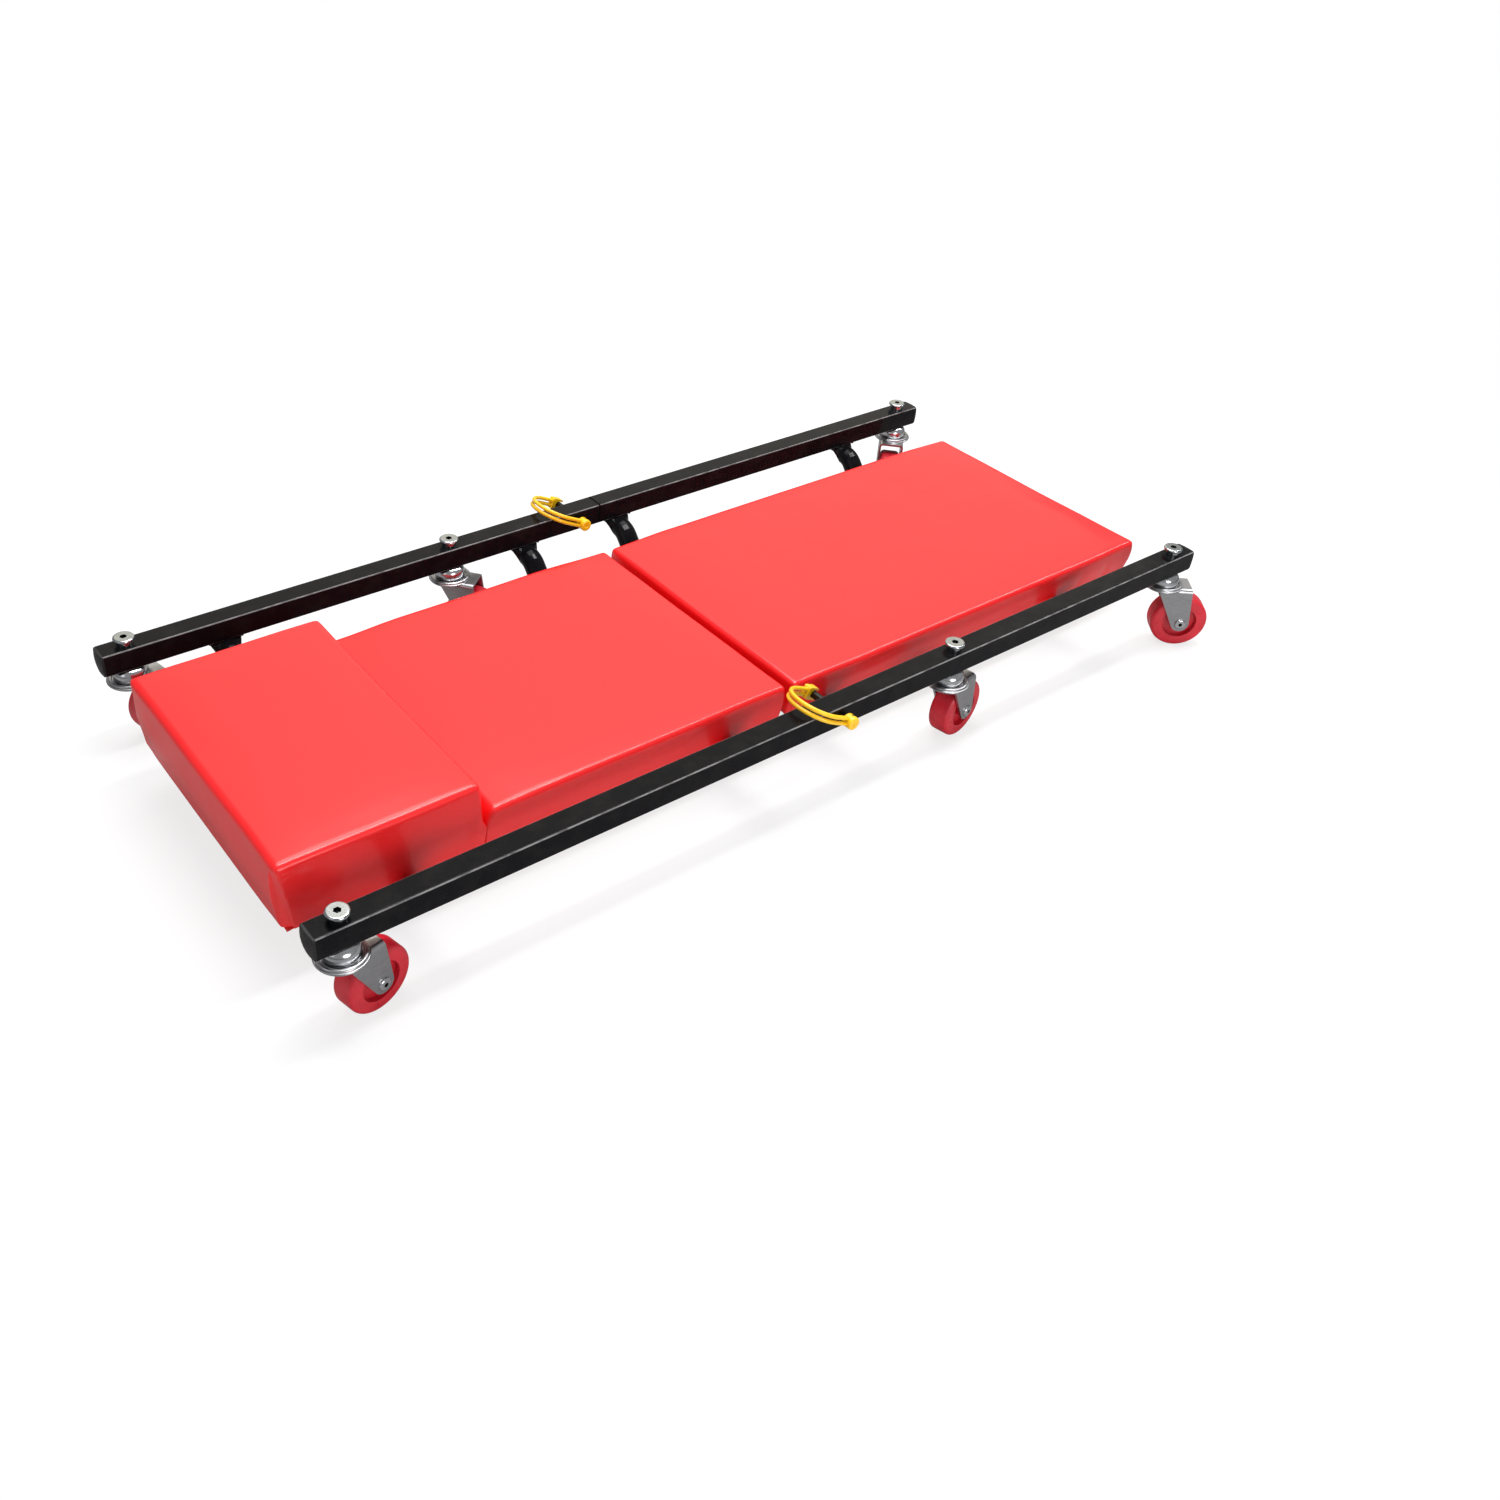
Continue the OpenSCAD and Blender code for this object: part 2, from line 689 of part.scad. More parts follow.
module bush(c) {
    color("#9b9ea3")
    turned(c) translate([caster_trail, 0, wheel_r]) rotate([90, 0, 0]) difference() {
        cylinder(d = bush_dia, h = fork_gap - 2 * seat, center = true);
        cylinder(r = axle_dia / 2 + seat, h = fork_gap, center = true);
    }
}

module wheel(c) {
    bore = bush_dia / 2 + run;
    color("#c01f2b")
    turned(c) translate([caster_trail, 0, wheel_r]) rotate([90, 0, 0]) rotate_extrude() {
        difference() {
            translate([-wheel_r, -wheel_width / 2])
                soft_box_2d([0, 0], [2 * wheel_r, wheel_width], wheel_edge, wheel_edge);
            translate([-wheel_r - 1, -wheel_width])
                square([wheel_r + 1 + wheel_recess_dia / 2, 2 * wheel_width]);
        }
        translate([bore, -wheel_web / 2])
            square([wheel_recess_dia / 2 - bore + 0.5, wheel_web]);
        translate([bore, -fork_gap / 2 + hub_side])
            square([hub_dia / 2 - bore, fork_gap - 2 * hub_side]);
    }
}

// ---- lock pins: each crosses a rail and its sleeve, and its bail clips over the tip ----

// Places what is drawn in the bail's own plane: X away from the pin, Y along the pin.
module in_bail_plane(s) {
    translate([pin_x, s[1], rail_middle]) rotate([0, 180 + bail_tilt, 0]) children();
}

module lock_pin(s) {
    r = pin_dia / 2;
    tip = clip_v + clip_width / 2 - 0.6;
    shank = -rail_size / 2 - 0.4;
    color("#c9ccd0")
    in_bail_plane(s) difference() {
        union() {
            translate([0, shank, 0]) rotate([-90, 0, 0]) cylinder(r = r, h = tip - 1 - shank);
            translate([0, tip - 1, 0]) rotate([-90, 0, 0]) cylinder(r1 = r, r2 = r - 1, h = 1);
            intersection() {
                translate([0, pivot_v - r, 0]) rotate([-90, 0, 0])
                    cylinder(r = r, h = shank - pivot_v + r + eps);
                union() {
                    cylinder(r = r, h = tang_thick, center = true);
                    translate([-r, pivot_v, -tang_thick / 2])
                        cube([2 * r, shank - pivot_v + eps, tang_thick]);
                    translate([0, pivot_v, 0]) cylinder(r = r, h = tang_thick, center = true);
                }
            }
        }
        translate([0, pivot_v, 0])
            cylinder(r = rivet_dia / 2 + seat, h = pin_dia, center = true);
    }
}

module bail_rivet(s) {
    color("#dadde0")
    in_bail_plane(s) translate([0, pivot_v, 0])
        cylinder(d = rivet_dia, h = boss_dia - 0.6, center = true);
}

module lock_bail(s) {
    color("#f2c30f")
    in_bail_plane(s) difference() {
        union() {
            bail_boss();
            bail_clip();
            for (n = [-1, 1] * strand_pitch / 2) translate([0, 0, n]) bail_strand();
        }
        translate([0, pivot_v, 0]) bail_slot();
    }
}

// One strand: a straight from the boss, a half turn over the rail, a straight to the clip.
module bail_strand() {
    r = strand_dia / 2;
    for (v = [[pivot_v, boss_dia / 2 - 1.5], [clip_v, clip_back - 1]])
        translate([v[1], v[0], 0]) rotate([0, 90, 0])
            cylinder(r = r, h = strand_straight - v[1] + eps);
    translate([strand_straight, (pivot_v + clip_v) / 2, 0]) rotate([0, 0, -90])
        rotate_extrude(angle = 180) translate([bend_r, 0]) circle(r);
}

module bail_boss() {
    r = boss_dia / 2;
    length = boss_out + boss_in;
    translate([0, pivot_v - boss_out, 0]) rotate([-90, 0, 0]) difference() {
        rotate_extrude() intersection() {
            translate([-r, 0]) soft_box_2d([0, 0], [2 * r, length], 1.5, 1.5);
            square([r, length]);
        }
        translate([0, 0, -2]) sphere(r = 2.8, $fn = 32);
    }
}

// Room for the tang, open to the rail and to the side that it turns towards.
module bail_slot() {
    room = pin_dia / 2 + pass;
    gap = tang_thick + 2 * pass / 2;
    cylinder(r = room, h = gap, center = true);
    translate([-boss_dia, 0, -gap / 2]) cube([boss_dia + room, boss_dia, gap]);
    translate([-boss_dia, -room, -gap / 2]) cube([boss_dia, room + eps, gap]);
    cylinder(r = rivet_dia / 2 + run, h = 2 * boss_dia, center = true);
}

module bail_clip() {
    slot = pin_dia / 2 + pass;
    translate([0, clip_v, 0]) along_y(clip_width) difference() {
        soft_box_2d([-clip_hook, -clip_height / 2], [clip_back, clip_height / 2], 1.4, 1.4);
        circle(slot);
        translate([-clip_hook - 2, -slot]) square([clip_hook + 2, 2 * slot]);
    }
}

// ---- what is drawn ----

headrest_pad();
back_pad();
leg_pad();
head_board();
foot_board();
rail_end_caps();
cap_nuts();
caster_stems();
swivel_cups();
bearing_balls();
pad_bolts();
tee_nuts();
cross_tube(tube_xs[0]);  // head_end_tube
cross_tube(tube_xs[1]);  // head_inner_tube
cross_tube(tube_xs[2]);  // foot_inner_tube
cross_tube(tube_xs[3]);  // foot_end_tube
for (s = SIDES) {
    head_rail(s);
    foot_rail(s);
    rail_sleeve(s);
    lock_pin(s);
    bail_rivet(s);
    lock_bail(s);
}
for (c = CASTERS) {
    fork(c);
    axle(c);
    bush(c);
    wheel(c);
}
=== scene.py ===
# %% [markdown]
# # A mechanics creeper, dressed in Blender
# The CAD model already holds every rigid part at its real size: the two plug-together
# rails, the bent cross tubes, the lock pins and the six swivel casters. This lesson keeps
# those parts, gives each its real finish, and makes by hand what CAD leaves plain: the
# vinyl covers over their foam, and the small signs of how the thing was put together.
# Everything is in metres. X runs from the head end to the foot end, Y to the left of the
# person who lies on it, and Z up from the floor.

# %% Load the CAD frame
import json
import math
import random

import bmesh
import bpy
import numpy as np
from mathutils import Matrix, Vector, noise
from mathutils.bvhtree import BVHTree
from mathutils.kdtree import KDTree

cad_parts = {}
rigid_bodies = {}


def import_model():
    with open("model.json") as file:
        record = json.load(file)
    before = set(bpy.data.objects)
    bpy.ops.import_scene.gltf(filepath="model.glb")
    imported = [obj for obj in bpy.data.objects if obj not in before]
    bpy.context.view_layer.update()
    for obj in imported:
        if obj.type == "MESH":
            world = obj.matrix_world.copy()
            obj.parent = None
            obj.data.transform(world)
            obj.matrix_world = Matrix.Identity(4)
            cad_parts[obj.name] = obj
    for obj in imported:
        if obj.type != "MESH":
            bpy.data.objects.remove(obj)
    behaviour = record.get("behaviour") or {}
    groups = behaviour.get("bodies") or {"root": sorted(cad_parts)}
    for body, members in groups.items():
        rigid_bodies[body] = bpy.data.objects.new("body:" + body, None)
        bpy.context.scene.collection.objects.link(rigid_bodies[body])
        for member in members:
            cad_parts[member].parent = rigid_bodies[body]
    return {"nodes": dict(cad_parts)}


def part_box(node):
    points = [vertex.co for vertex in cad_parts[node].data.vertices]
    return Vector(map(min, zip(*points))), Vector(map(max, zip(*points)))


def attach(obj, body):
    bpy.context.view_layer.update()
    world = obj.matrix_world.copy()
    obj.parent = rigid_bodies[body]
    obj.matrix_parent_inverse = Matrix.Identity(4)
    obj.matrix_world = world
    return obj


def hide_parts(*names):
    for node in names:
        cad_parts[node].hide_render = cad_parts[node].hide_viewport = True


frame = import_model()
nodes = frame["nodes"]
scene = bpy.context.scene
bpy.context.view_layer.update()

# %% [markdown]
# ## The camera
# A photograph fixes the view. The camera's place and lens were solved once from the bolts
# and the rails' corners, so here they are plain numbers: how far it is turned, how far it
# looks down, how far it leans, and the point that it stands at. It is aimed first, and the
# small lens shift only does what aiming can't, because the picture was cropped off centre.

# %% Camera
CAMERA_TURN, CAMERA_PITCH, CAMERA_LEAN = (math.radians(a) for a in (-39.021, 35.688, 3.769))
CAMERA_PLACE = Vector((-0.6727, -0.7792, 0.7338))
LENS, SENSOR = 34.653, 36.0
SHIFT_X, SHIFT_Y = 0.06827, -0.0424
W = H = L = 1500    # the photograph's width and height, and the longer of the two


def camera_axes():
    """The camera's right, up and backward directions."""
    back = Vector((math.sin(CAMERA_TURN) * math.cos(CAMERA_PITCH),
                   -math.cos(CAMERA_TURN) * math.cos(CAMERA_PITCH),
                   math.sin(CAMERA_PITCH)))
    right = (-back).cross(Vector((0, 0, 1))).normalized()
    up = right.cross(-back)
    c, s = math.cos(CAMERA_LEAN), math.sin(CAMERA_LEAN)
    return c * right + s * up, -s * right + c * up, back


RIGHT, UP, BACK = camera_axes()
camera = bpy.data.objects.new("camera", bpy.data.cameras.new("camera"))
scene.collection.objects.link(camera)
camera.data.lens = LENS
camera.data.sensor_width = SENSOR
camera.data.sensor_fit = "AUTO"
camera.data.shift_x, camera.data.shift_y = SHIFT_X, SHIFT_Y
camera.data.clip_start = 0.01
camera.matrix_world = Matrix.Translation(CAMERA_PLACE) @ Matrix(
    (RIGHT, UP, BACK)).transposed().to_4x4()
scene.camera = camera
print("camera looks along", [round(v, 3) for v in -BACK])

# %% [markdown]
# ## Image points
# These are places in the photograph, in its own pixels, that the render has to agree with:
# where the whole object starts and ends, the cap nuts, the pads' corners and the bails.
# One function turns a point of the model into a pixel, and one sends a ray back through a
# pixel to find the surface under it.

# %% Image points and rays
IMAGE_POINTS = {
    "object_left": (88.8, None), "object_right": (1204.6, None),
    "object_top": (None, 402.0), "object_bottom": (None, 1010.4),
    "nut_head_right": (336.6, 915.1), "nut_mid_right": (953.6, 645.6),
    "nut_foot_right": (1173.5, 548.7), "nut_head_left": (123.2, 637.9),
    "nut_foot_left": (897.2, 404.7),
    "headrest_near_corner": (272.5, 867.0), "headrest_far_corner": (134.0, 680.0),
    "back_pad_near_corner": (783.0, 690.0), "leg_pad_far_corner": (944.0, 444.0),
    "leg_pad_near_corner": (1131.0, 543.0), "cover_notch": (484.0, 821.0),
    "corner_fold": (285.0, 895.0), "leg_pucker_near": (1082.0, 575.0),
    "leg_pucker_far": (1106.6, 565.7),
    "bail_boss_right": (849.3, 721.2), "bail_boss_left": (584.3, 526.7),
}


def pixel_of(point):
    """Where a point of the model shows, in the photograph's pixels."""
    d = Vector(point) - CAMERA_PLACE
    depth = -d.dot(BACK)
    k = L * LENS / SENSOR / depth
    return W / 2 - SHIFT_X * L + k * d.dot(RIGHT), H / 2 + SHIFT_Y * L - k * d.dot(UP)


def ray_through(x, y):
    """The direction in which the camera sees a pixel."""
    across, above = x - W / 2 + SHIFT_X * L, H / 2 - y + SHIFT_Y * L
    return (across * RIGHT + above * UP - L * LENS / SENSOR * BACK).normalized()


def place_on(carriers, x, y):
    """The point of the carriers' surface that shows at a pixel, and its normal."""
    direction = ray_through(x, y)
    best = None
    for carrier in carriers:
        graph = bpy.context.evaluated_depsgraph_get()
        tree = BVHTree.FromObject(carrier, graph)
        hit, normal, _, distance = tree.ray_cast(CAMERA_PLACE, direction)
        if hit is None:
            step = (carrier.matrix_world.translation - CAMERA_PLACE).length
            for _ in range(4):
                hit, normal, _, _ = tree.find_nearest(CAMERA_PLACE + step * direction)
                step = (hit - CAMERA_PLACE).dot(direction)
            distance = 1e3 + (hit - CAMERA_PLACE - step * direction).length
        if best is None or distance < best[2]:
            best = (hit, normal, distance)
    return best[0], best[1]


# %% [markdown]
# ## Node material helpers
# Every finish here is procedural. Each one reads Object coordinates, which are metres in
# this model, so a noise scale of 1000 repeats about once a millimetre. One small class
# keeps the recipes short: it starts a material, adds nodes with their inputs set, and joins
# their outputs to the shader.

# %% Material helpers
class Finish:
    """A material under construction: its nodes, links and Principled shader."""

    def __init__(self, name, **inputs):
        self.material = bpy.data.materials.new(name)
        self.material.use_nodes = True
        self.tree = self.material.node_tree
        self.shader = self.tree.nodes["Principled BSDF"]
        for key, value in inputs.items():
            self.shader.inputs[key.replace("_", " ")].default_value = value
        self.place = self.add("ShaderNodeTexCoord").outputs["Object"]

    def feed(self, value, socket):
        """Give a socket its value, or a link if the value is another node's output."""
        if isinstance(value, bpy.types.NodeSocket):
            self.tree.links.new(value, socket)
        else:
            socket.default_value = value

    def add(self, kind, settings=None, **inputs):
        node = self.tree.nodes.new(kind)
        for key, value in (settings or {}).items():
            setattr(node, key, value)
        for key, value in inputs.items():
            self.feed(value, node.inputs[key.replace("_", " ")])
        return node

    def join(self, output, socket):
        self.tree.links.new(output, self.shader.inputs[socket])

    def stretched(self, scale, turn=(0, 0, 0)):
        """Object coordinates, scaled differently along X, Y and Z."""
        return self.add("ShaderNodeMapping", Vector=self.place, Scale=scale,
                        Rotation=turn).outputs["Vector"]

    def noise(self, scale, detail=3.0, roughness=0.5, vector=None):
        return self.add("ShaderNodeTexNoise", Vector=vector or self.place, Scale=scale,
                        Detail=detail, Roughness=roughness).outputs["Fac"]

    def span(self, value, low, high, start=0.0, end=1.0):
        """A value carried from one range to another."""
        node = self.add("ShaderNodeMapRange", Value=value, From_Min=start, From_Max=end,
                        To_Min=low, To_Max=high)
        return node.outputs["Result"]

    def blend(self, factor, a, b):
        node = self.add("ShaderNodeMix", {"data_type": "RGBA"})
        for value, number in ((factor, 0), (a, 6), (b, 7)):
            self.feed(value, node.inputs[number])
        return node.outputs[2]

    def maths(self, operation, a, b=0.0):
        node = self.add("ShaderNodeMath", {"operation": operation})
        self.feed(a, node.inputs[0])
        self.feed(b, node.inputs[1])
        return node.outputs[0]

    def off_by(self, value, middle):
        """How far a value is from a middle, whichever way."""
        return self.maths("ABSOLUTE", self.maths("SUBTRACT", value, middle))

    def parts(self):
        """X, Y and Z of the Object coordinates as single values."""
        return self.add("ShaderNodeSeparateXYZ", Vector=self.place).outputs

    def bumps(self, *layers):
        """Bumps over each other; a layer is a height, its depth in mm and a strength."""
        normal = None
        for height, depth_mm, strength in layers:
            node = self.add("ShaderNodeBump", Height=height, Distance=depth_mm / 1000,
                            Strength=strength)
            if normal is not None:
                self.tree.links.new(normal, node.inputs["Normal"])
            normal = node.outputs["Normal"]
        self.join(normal, "Normal")


# %% [markdown]
# ## Red vinyl
# The covers are a soft, slightly shiny vinyl. Close up it has a leather grain of small
# rounded cells less than a millimetre wide, which breaks the highlight up. A Voronoi
# texture gives the cells, and a fine noise bends them so that no two are alike. The red
# itself drifts a little, and the shine is uneven where hands have been.

# %% Red vinyl
def red_vinyl():
    f = Finish("red_vinyl", IOR=1.5, Specular_IOR_Level=0.33, Coat_Weight=0.55,
               Coat_Roughness=0.13)
    warp = f.add("ShaderNodeTexNoise", Vector=f.place, Scale=500.0, Detail=2.0)
    bent = f.add("ShaderNodeVectorMath", {"operation": "MULTIPLY_ADD"})
    f.tree.links.new(warp.outputs["Color"], bent.inputs[0])
    bent.inputs[1].default_value = (0.0006,) * 3
    f.tree.links.new(f.place, bent.inputs[2])
    cells = f.add("ShaderNodeTexVoronoi", {"feature": "SMOOTH_F1"}, Vector=bent.outputs[0],
                  Scale=1050.0, Smoothness=0.5).outputs["Distance"]
    drift = f.noise(9.0, 3.0)
    colour = f.blend(f.span(drift, 0, 1, 0.3, 0.7), (0.84, 0.005, 0.007, 1),
                     (0.78, 0.004, 0.006, 1))
    colour = f.blend(f.span(cells, 0, 0.22, 0.2, 0.75), colour, (0.66, 0.002, 0.005, 1))
    f.join(colour, "Base Color")
    f.join(f.span(f.noise(26.0, 4.0), 0.42, 0.5, 0.3, 0.7), "Roughness")
    f.bumps((f.noise(34.0, 2.0), 0.9, 0.04), (cells, 0.10, 0.3))
    return f.material


VINYL = red_vinyl()

# %% [markdown]
# ## Black powder coat
# The rails and tubes are powder coated a gloss black. Powder melts as it bakes and keeps
# a faint orange-peel ripple a few millimetres wide. A wide low noise bump makes the ripple,
# and a finer one keeps the reflections from being a perfect mirror's. Along the rails'
# edges a painted highlight, made patchy by noise, draws them as fine light lines, and on
# the left rail a dark groove marks where the two halves plug together.

# %% Black powder coat
def black_coat(name, rail=False, seam_x=None):
    """The coat; a rail also has painted highlight lines along its edges, and a seam at
    seam_x if that is given.
    """
    f = Finish(name, IOR=1.5, Specular_IOR_Level=0.10)
    dust = f.noise(60.0, 5.0, 0.62)
    colour = f.blend(f.span(dust, 0, 1, 0.45, 0.8), (0.004, 0.004, 0.005, 1),
                     (0.011, 0.010, 0.010, 1))
    shine = f.span(f.noise(38.0, 4.0), 0.10, 0.20, 0.3, 0.7)
    layers = [(f.noise(420.0, 2.0), 0.06, 0.2), (f.noise(2300.0, 1.0), 0.02, 0.2)]
    # Painted highlight: a thin light grey line along each edge of the rail, made patchy by
    # noise.
    if rail:
        part = f.parts()
        low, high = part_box("foot_rail_left")
        half = (high.z - low.z) / 2
        across = f.off_by(f.maths("ABSOLUTE", part["Y"]), (low.y + high.y) / 2)
        above = f.off_by(part["Z"], (low.z + high.z) / 2)
        edge = f.span(f.maths("MINIMUM", across, above), 0, 1, half - 0.0011, half - 0.0006)
        patchy_highlight = f.span(f.noise(90.0, 4.0, 0.6), 0.35, 1, 0.35, 0.6)
        colour = f.blend(f.maths("MULTIPLY", edge, patchy_highlight), colour, (0.24, 0.23, 0.23, 1))
    if seam_x is not None:
        away = f.span(f.off_by(part["X"], seam_x), 0, 1, 0.0005, 0.001)
        colour = f.blend(away, (0.0005, 0.0005, 0.0005, 1), colour)
        smooth = f.maths("MULTIPLY", away, f.maths("SUBTRACT", 1.0, shine))
        shine = f.maths("SUBTRACT", 1.0, smooth)
        layers.append((away, 0.8, 1.0))
    f.join(colour, "Base Color")
    f.join(shine, "Roughness")
    f.bumps(*layers)
    return f.material


BLACK = black_coat("black_coat")
RAIL_BLACK = black_coat("black_rail_coat", rail=True)
SEAM_BLACK = black_coat("black_rail_coat_seam", rail=True,
                        seam_x=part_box("foot_rail_left")[0].x)

# %% [markdown]
# ## Zinc plate
# The caster forks, stems and bolts are steel with a thin blue-white zinc plate. Its look
# comes from the sheet underneath: rolled steel has faint streaks, so the noise is
# stretched along one direction. The pressed cups, nuts and rivet heads are tumbled and
# plated brighter, with a finer, rounder mottle. The same recipe serves the other bare
# metals, with another tint: the dark lock pins, the balls and the oiled sleeves.

# %% Zinc plate, satin and bright
def zinc(name, low, high, tint, streaks, grain=900.0, painted_shade_where=None):
    """Plate of a tint, its roughness from low to high, streaked as the scales say."""
    f = Finish(name, Metallic=1.0)
    rolled = f.noise(150.0, 5.0, 0.65, f.stretched(streaks))
    mottle = f.noise(grain, 2.0)
    dark = tuple(0.72 * c for c in tint) + (1,)
    colour = f.blend(f.span(rolled, 0, 1, 0.3, 0.75), tint + (1,), dark)
    # Painted shade: a dark grey-green where the mask is 1, such as down in the nuts'
    # sockets.
    if painted_shade_where:
        colour = f.blend(painted_shade_where(f), colour, (0.035, 0.045, 0.042, 1))
    f.join(colour, "Base Color")
    f.join(f.span(rolled, low, high, 0.3, 0.7), "Roughness")
    f.bumps((rolled, 0.03, 0.3), (mottle, 0.02, 0.3))
    return f.material


NUT_LOW, NUT_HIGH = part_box("cap_nuts")
NUT_R = 0.00825
END_NUT_X, MID_NUT_X, NUT_Y = NUT_HIGH.x - NUT_R, 0.130, NUT_HIGH.y - NUT_R


def painted_socket_shade(f):
    """1 down inside the cap nuts' hexagons, where painted shade darkens the sockets."""
    part = f.parts()
    along = f.maths("ABSOLUTE", part["X"])
    dx = f.maths("MINIMUM", f.off_by(along, END_NUT_X), f.off_by(along, MID_NUT_X))
    dy = f.maths("SUBTRACT", f.maths("ABSOLUTE", part["Y"]), NUT_Y)
    apart = f.maths("SQRT", f.maths("ADD", f.maths("MULTIPLY", dx, dx),
                                    f.maths("MULTIPLY", dy, dy)))
    inside = f.span(apart, 1, 0, 0.0029, 0.0034)
    deep = f.span(part["Z"], 1, 0, NUT_HIGH.z - 0.0012, NUT_HIGH.z - 0.0002)
    return f.maths("MULTIPLY", inside, deep)


# The nuts' bright plate, with painted shade down in their sockets.
NUT_ZINC = zinc("nut_zinc_plate", 0.12, 0.24, (0.58, 0.61, 0.63), (1, 1, 1), 1500.0,
                painted_socket_shade)
ZINC = zinc("zinc_plate", 0.26, 0.42, (0.56, 0.56, 0.575), (1.0, 1.0, 5.0))
BRIGHT_ZINC = zinc("bright_zinc_plate", 0.12, 0.24, (0.74, 0.75, 0.77), (1, 1, 1), 1500.0)
DARK_PIN = zinc("blued_pin", 0.25, 0.4, (0.045, 0.042, 0.04), (1, 5, 1))
BALL_STEEL = zinc("bearing_steel", 0.05, 0.12, (0.78, 0.78, 0.79), (1, 1, 1), 2000.0)
OILED_STEEL = zinc("oiled_steel", 0.3, 0.5, (0.30, 0.29, 0.29), (6, 1, 1))

# %% [markdown]
# ## Red wheels
# The wheels are cast in one red polyurethane, a little cloudy, so some light goes in and
# comes out again: that is a small amount of subsurface. The tread picks up dust, and the
# moulding leaves fine rings.

# %% Red wheels
def wheel_red():
    f = Finish("wheel_red", IOR=1.49, Subsurface_Weight=0.08, Subsurface_Scale=0.002)
    f.shader.inputs["Subsurface Radius"].default_value = (1.0, 0.15, 0.12)
    cloud = f.noise(70.0, 4.0)
    f.join(f.blend(f.span(cloud, 0, 1, 0.35, 0.75), (0.56, 0.012, 0.026, 1),
                   (0.43, 0.008, 0.018, 1)), "Base Color")
    f.join(f.span(f.noise(160.0, 5.0, 0.6), 0.26, 0.46, 0.3, 0.75), "Roughness")
    f.bumps((f.noise(900.0, 3.0), 0.03, 0.3),)
    return f.material


WHEEL = wheel_red()

# %% [markdown]
# ## Yellow dip, black plastic and plywood
# The bails are dipped in thick yellow plastic, which pools and leaves soft lumps. The end
# caps are matt black moulded plastic. The boards inside the covers are raw plywood, and
# they show underneath: long grain on the face and thin layers on the edge.

# %% Yellow dip, black plastic and plywood
def yellow_dip():
    f = Finish("yellow_dip", IOR=1.5, Coat_Weight=0.3, Coat_Roughness=0.1)
    f.join(f.blend(f.noise(120.0, 3.0), (0.93, 0.56, 0.006, 1), (0.84, 0.46, 0.004, 1)),
           "Base Color")
    f.join(f.span(f.noise(200.0, 3.0), 0.24, 0.4, 0.3, 0.7), "Roughness")
    f.bumps((f.noise(260.0, 2.0), 0.25, 0.3), (f.noise(1800.0, 1.0), 0.02, 0.3))
    return f.material


def cap_plastic():
    f = Finish("cap_plastic", IOR=1.47, Specular_IOR_Level=0.3)
    f.join(f.blend(f.noise(90.0, 3.0), (0.010, 0.010, 0.011, 1), (0.018, 0.018, 0.019, 1)),
           "Base Color")
    f.join(f.span(f.noise(300.0, 3.0), 0.42, 0.58, 0.3, 0.7), "Roughness")
    f.bumps((f.noise(3000.0, 2.0), 0.03, 0.5),)
    return f.material


def plywood():
    f = Finish("plywood", IOR=1.45)
    grain = f.noise(30.0, 6.0, 0.6, f.stretched((0.5, 9.0, 1.0)))
    pores = f.noise(260.0, 3.0, 0.6, f.stretched((0.12, 5.0, 1.0)))
    layers = f.add("ShaderNodeTexWave", {"wave_type": "BANDS", "bands_direction": "Z"},
                   Vector=f.place, Scale=180.0, Distortion=0.6).outputs["Fac"]
    face = f.blend(f.span(grain, 0, 1, 0.35, 0.7), (0.62, 0.43, 0.24, 1),
                   (0.42, 0.26, 0.13, 1))
    face = f.blend(f.span(pores, 0, 0.5, 0.55, 0.7), face, (0.2, 0.12, 0.06, 1))
    normal = f.add("ShaderNodeNewGeometry").outputs["Normal"]
    up = f.add("ShaderNodeSeparateXYZ", Vector=normal).outputs["Z"]
    side = f.maths("LESS_THAN", f.maths("ABSOLUTE", up), 0.5)
    edge = f.blend(layers, (0.5, 0.34, 0.19, 1), (0.25, 0.15, 0.08, 1))
    f.join(f.blend(side, face, edge), "Base Color")
    f.join(f.span(grain, 0.6, 0.78), "Roughness")
    f.bumps((grain, 0.15, 0.3), (pores, 0.08, 0.4))
    return f.material


YELLOW, CAP, PLYWOOD = yellow_dip(), cap_plastic(), plywood()

# %% [markdown]
# ## Dress the CAD parts
# A CAD node keeps its mesh. Only the material in its slot changes, and the node's name
# says what it is, so one table of name beginnings covers all of them.

# %% Dress the CAD parts
FINISHES = {
    "head_rail_left": SEAM_BLACK, "foot_rail_left": SEAM_BLACK,
    "head_rail_right": RAIL_BLACK, "foot_rail_right": RAIL_BLACK,
    "head_end_tube": BLACK, "head_inner_tube": BLACK,
    "foot_end_tube": BLACK, "foot_inner_tube": BLACK,
    "rail_end_caps": CAP, "rail_sleeve": OILED_STEEL, "cap_nuts": NUT_ZINC,
    "caster_stems": ZINC, "swivel_cups": BRIGHT_ZINC, "bearing_balls": BALL_STEEL,
    "pad_bolts": ZINC, "tee_nuts": ZINC,
    "fork": ZINC, "axle": BRIGHT_ZINC, "bush": ZINC, "wheel": WHEEL,
    "lock_pin": DARK_PIN, "bail_rivet": BRIGHT_ZINC, "lock_bail": YELLOW,
    "head_board": PLYWOOD, "foot_board": PLYWOOD, "headrest_pad": VINYL,
    "back_pad": VINYL, "leg_pad": VINYL,
}


def dress(node, material):
    node.data.materials.clear()
    node.data.materials.append(material)


for name, node in nodes.items():
    dress(node, next(m for start, m in FINISHES.items() if name.startswith(start)))
print(len(nodes), "CAD nodes dressed")

# %% [markdown]
# ## New pieces
# Every piece made here starts as a bmesh, becomes one object at the origin, and rides on
# the CAD body that carries it.

# %% New piece
def shade_smooth(mesh):
    mesh.polygons.foreach_set("use_smooth", [True] * len(mesh.polygons))


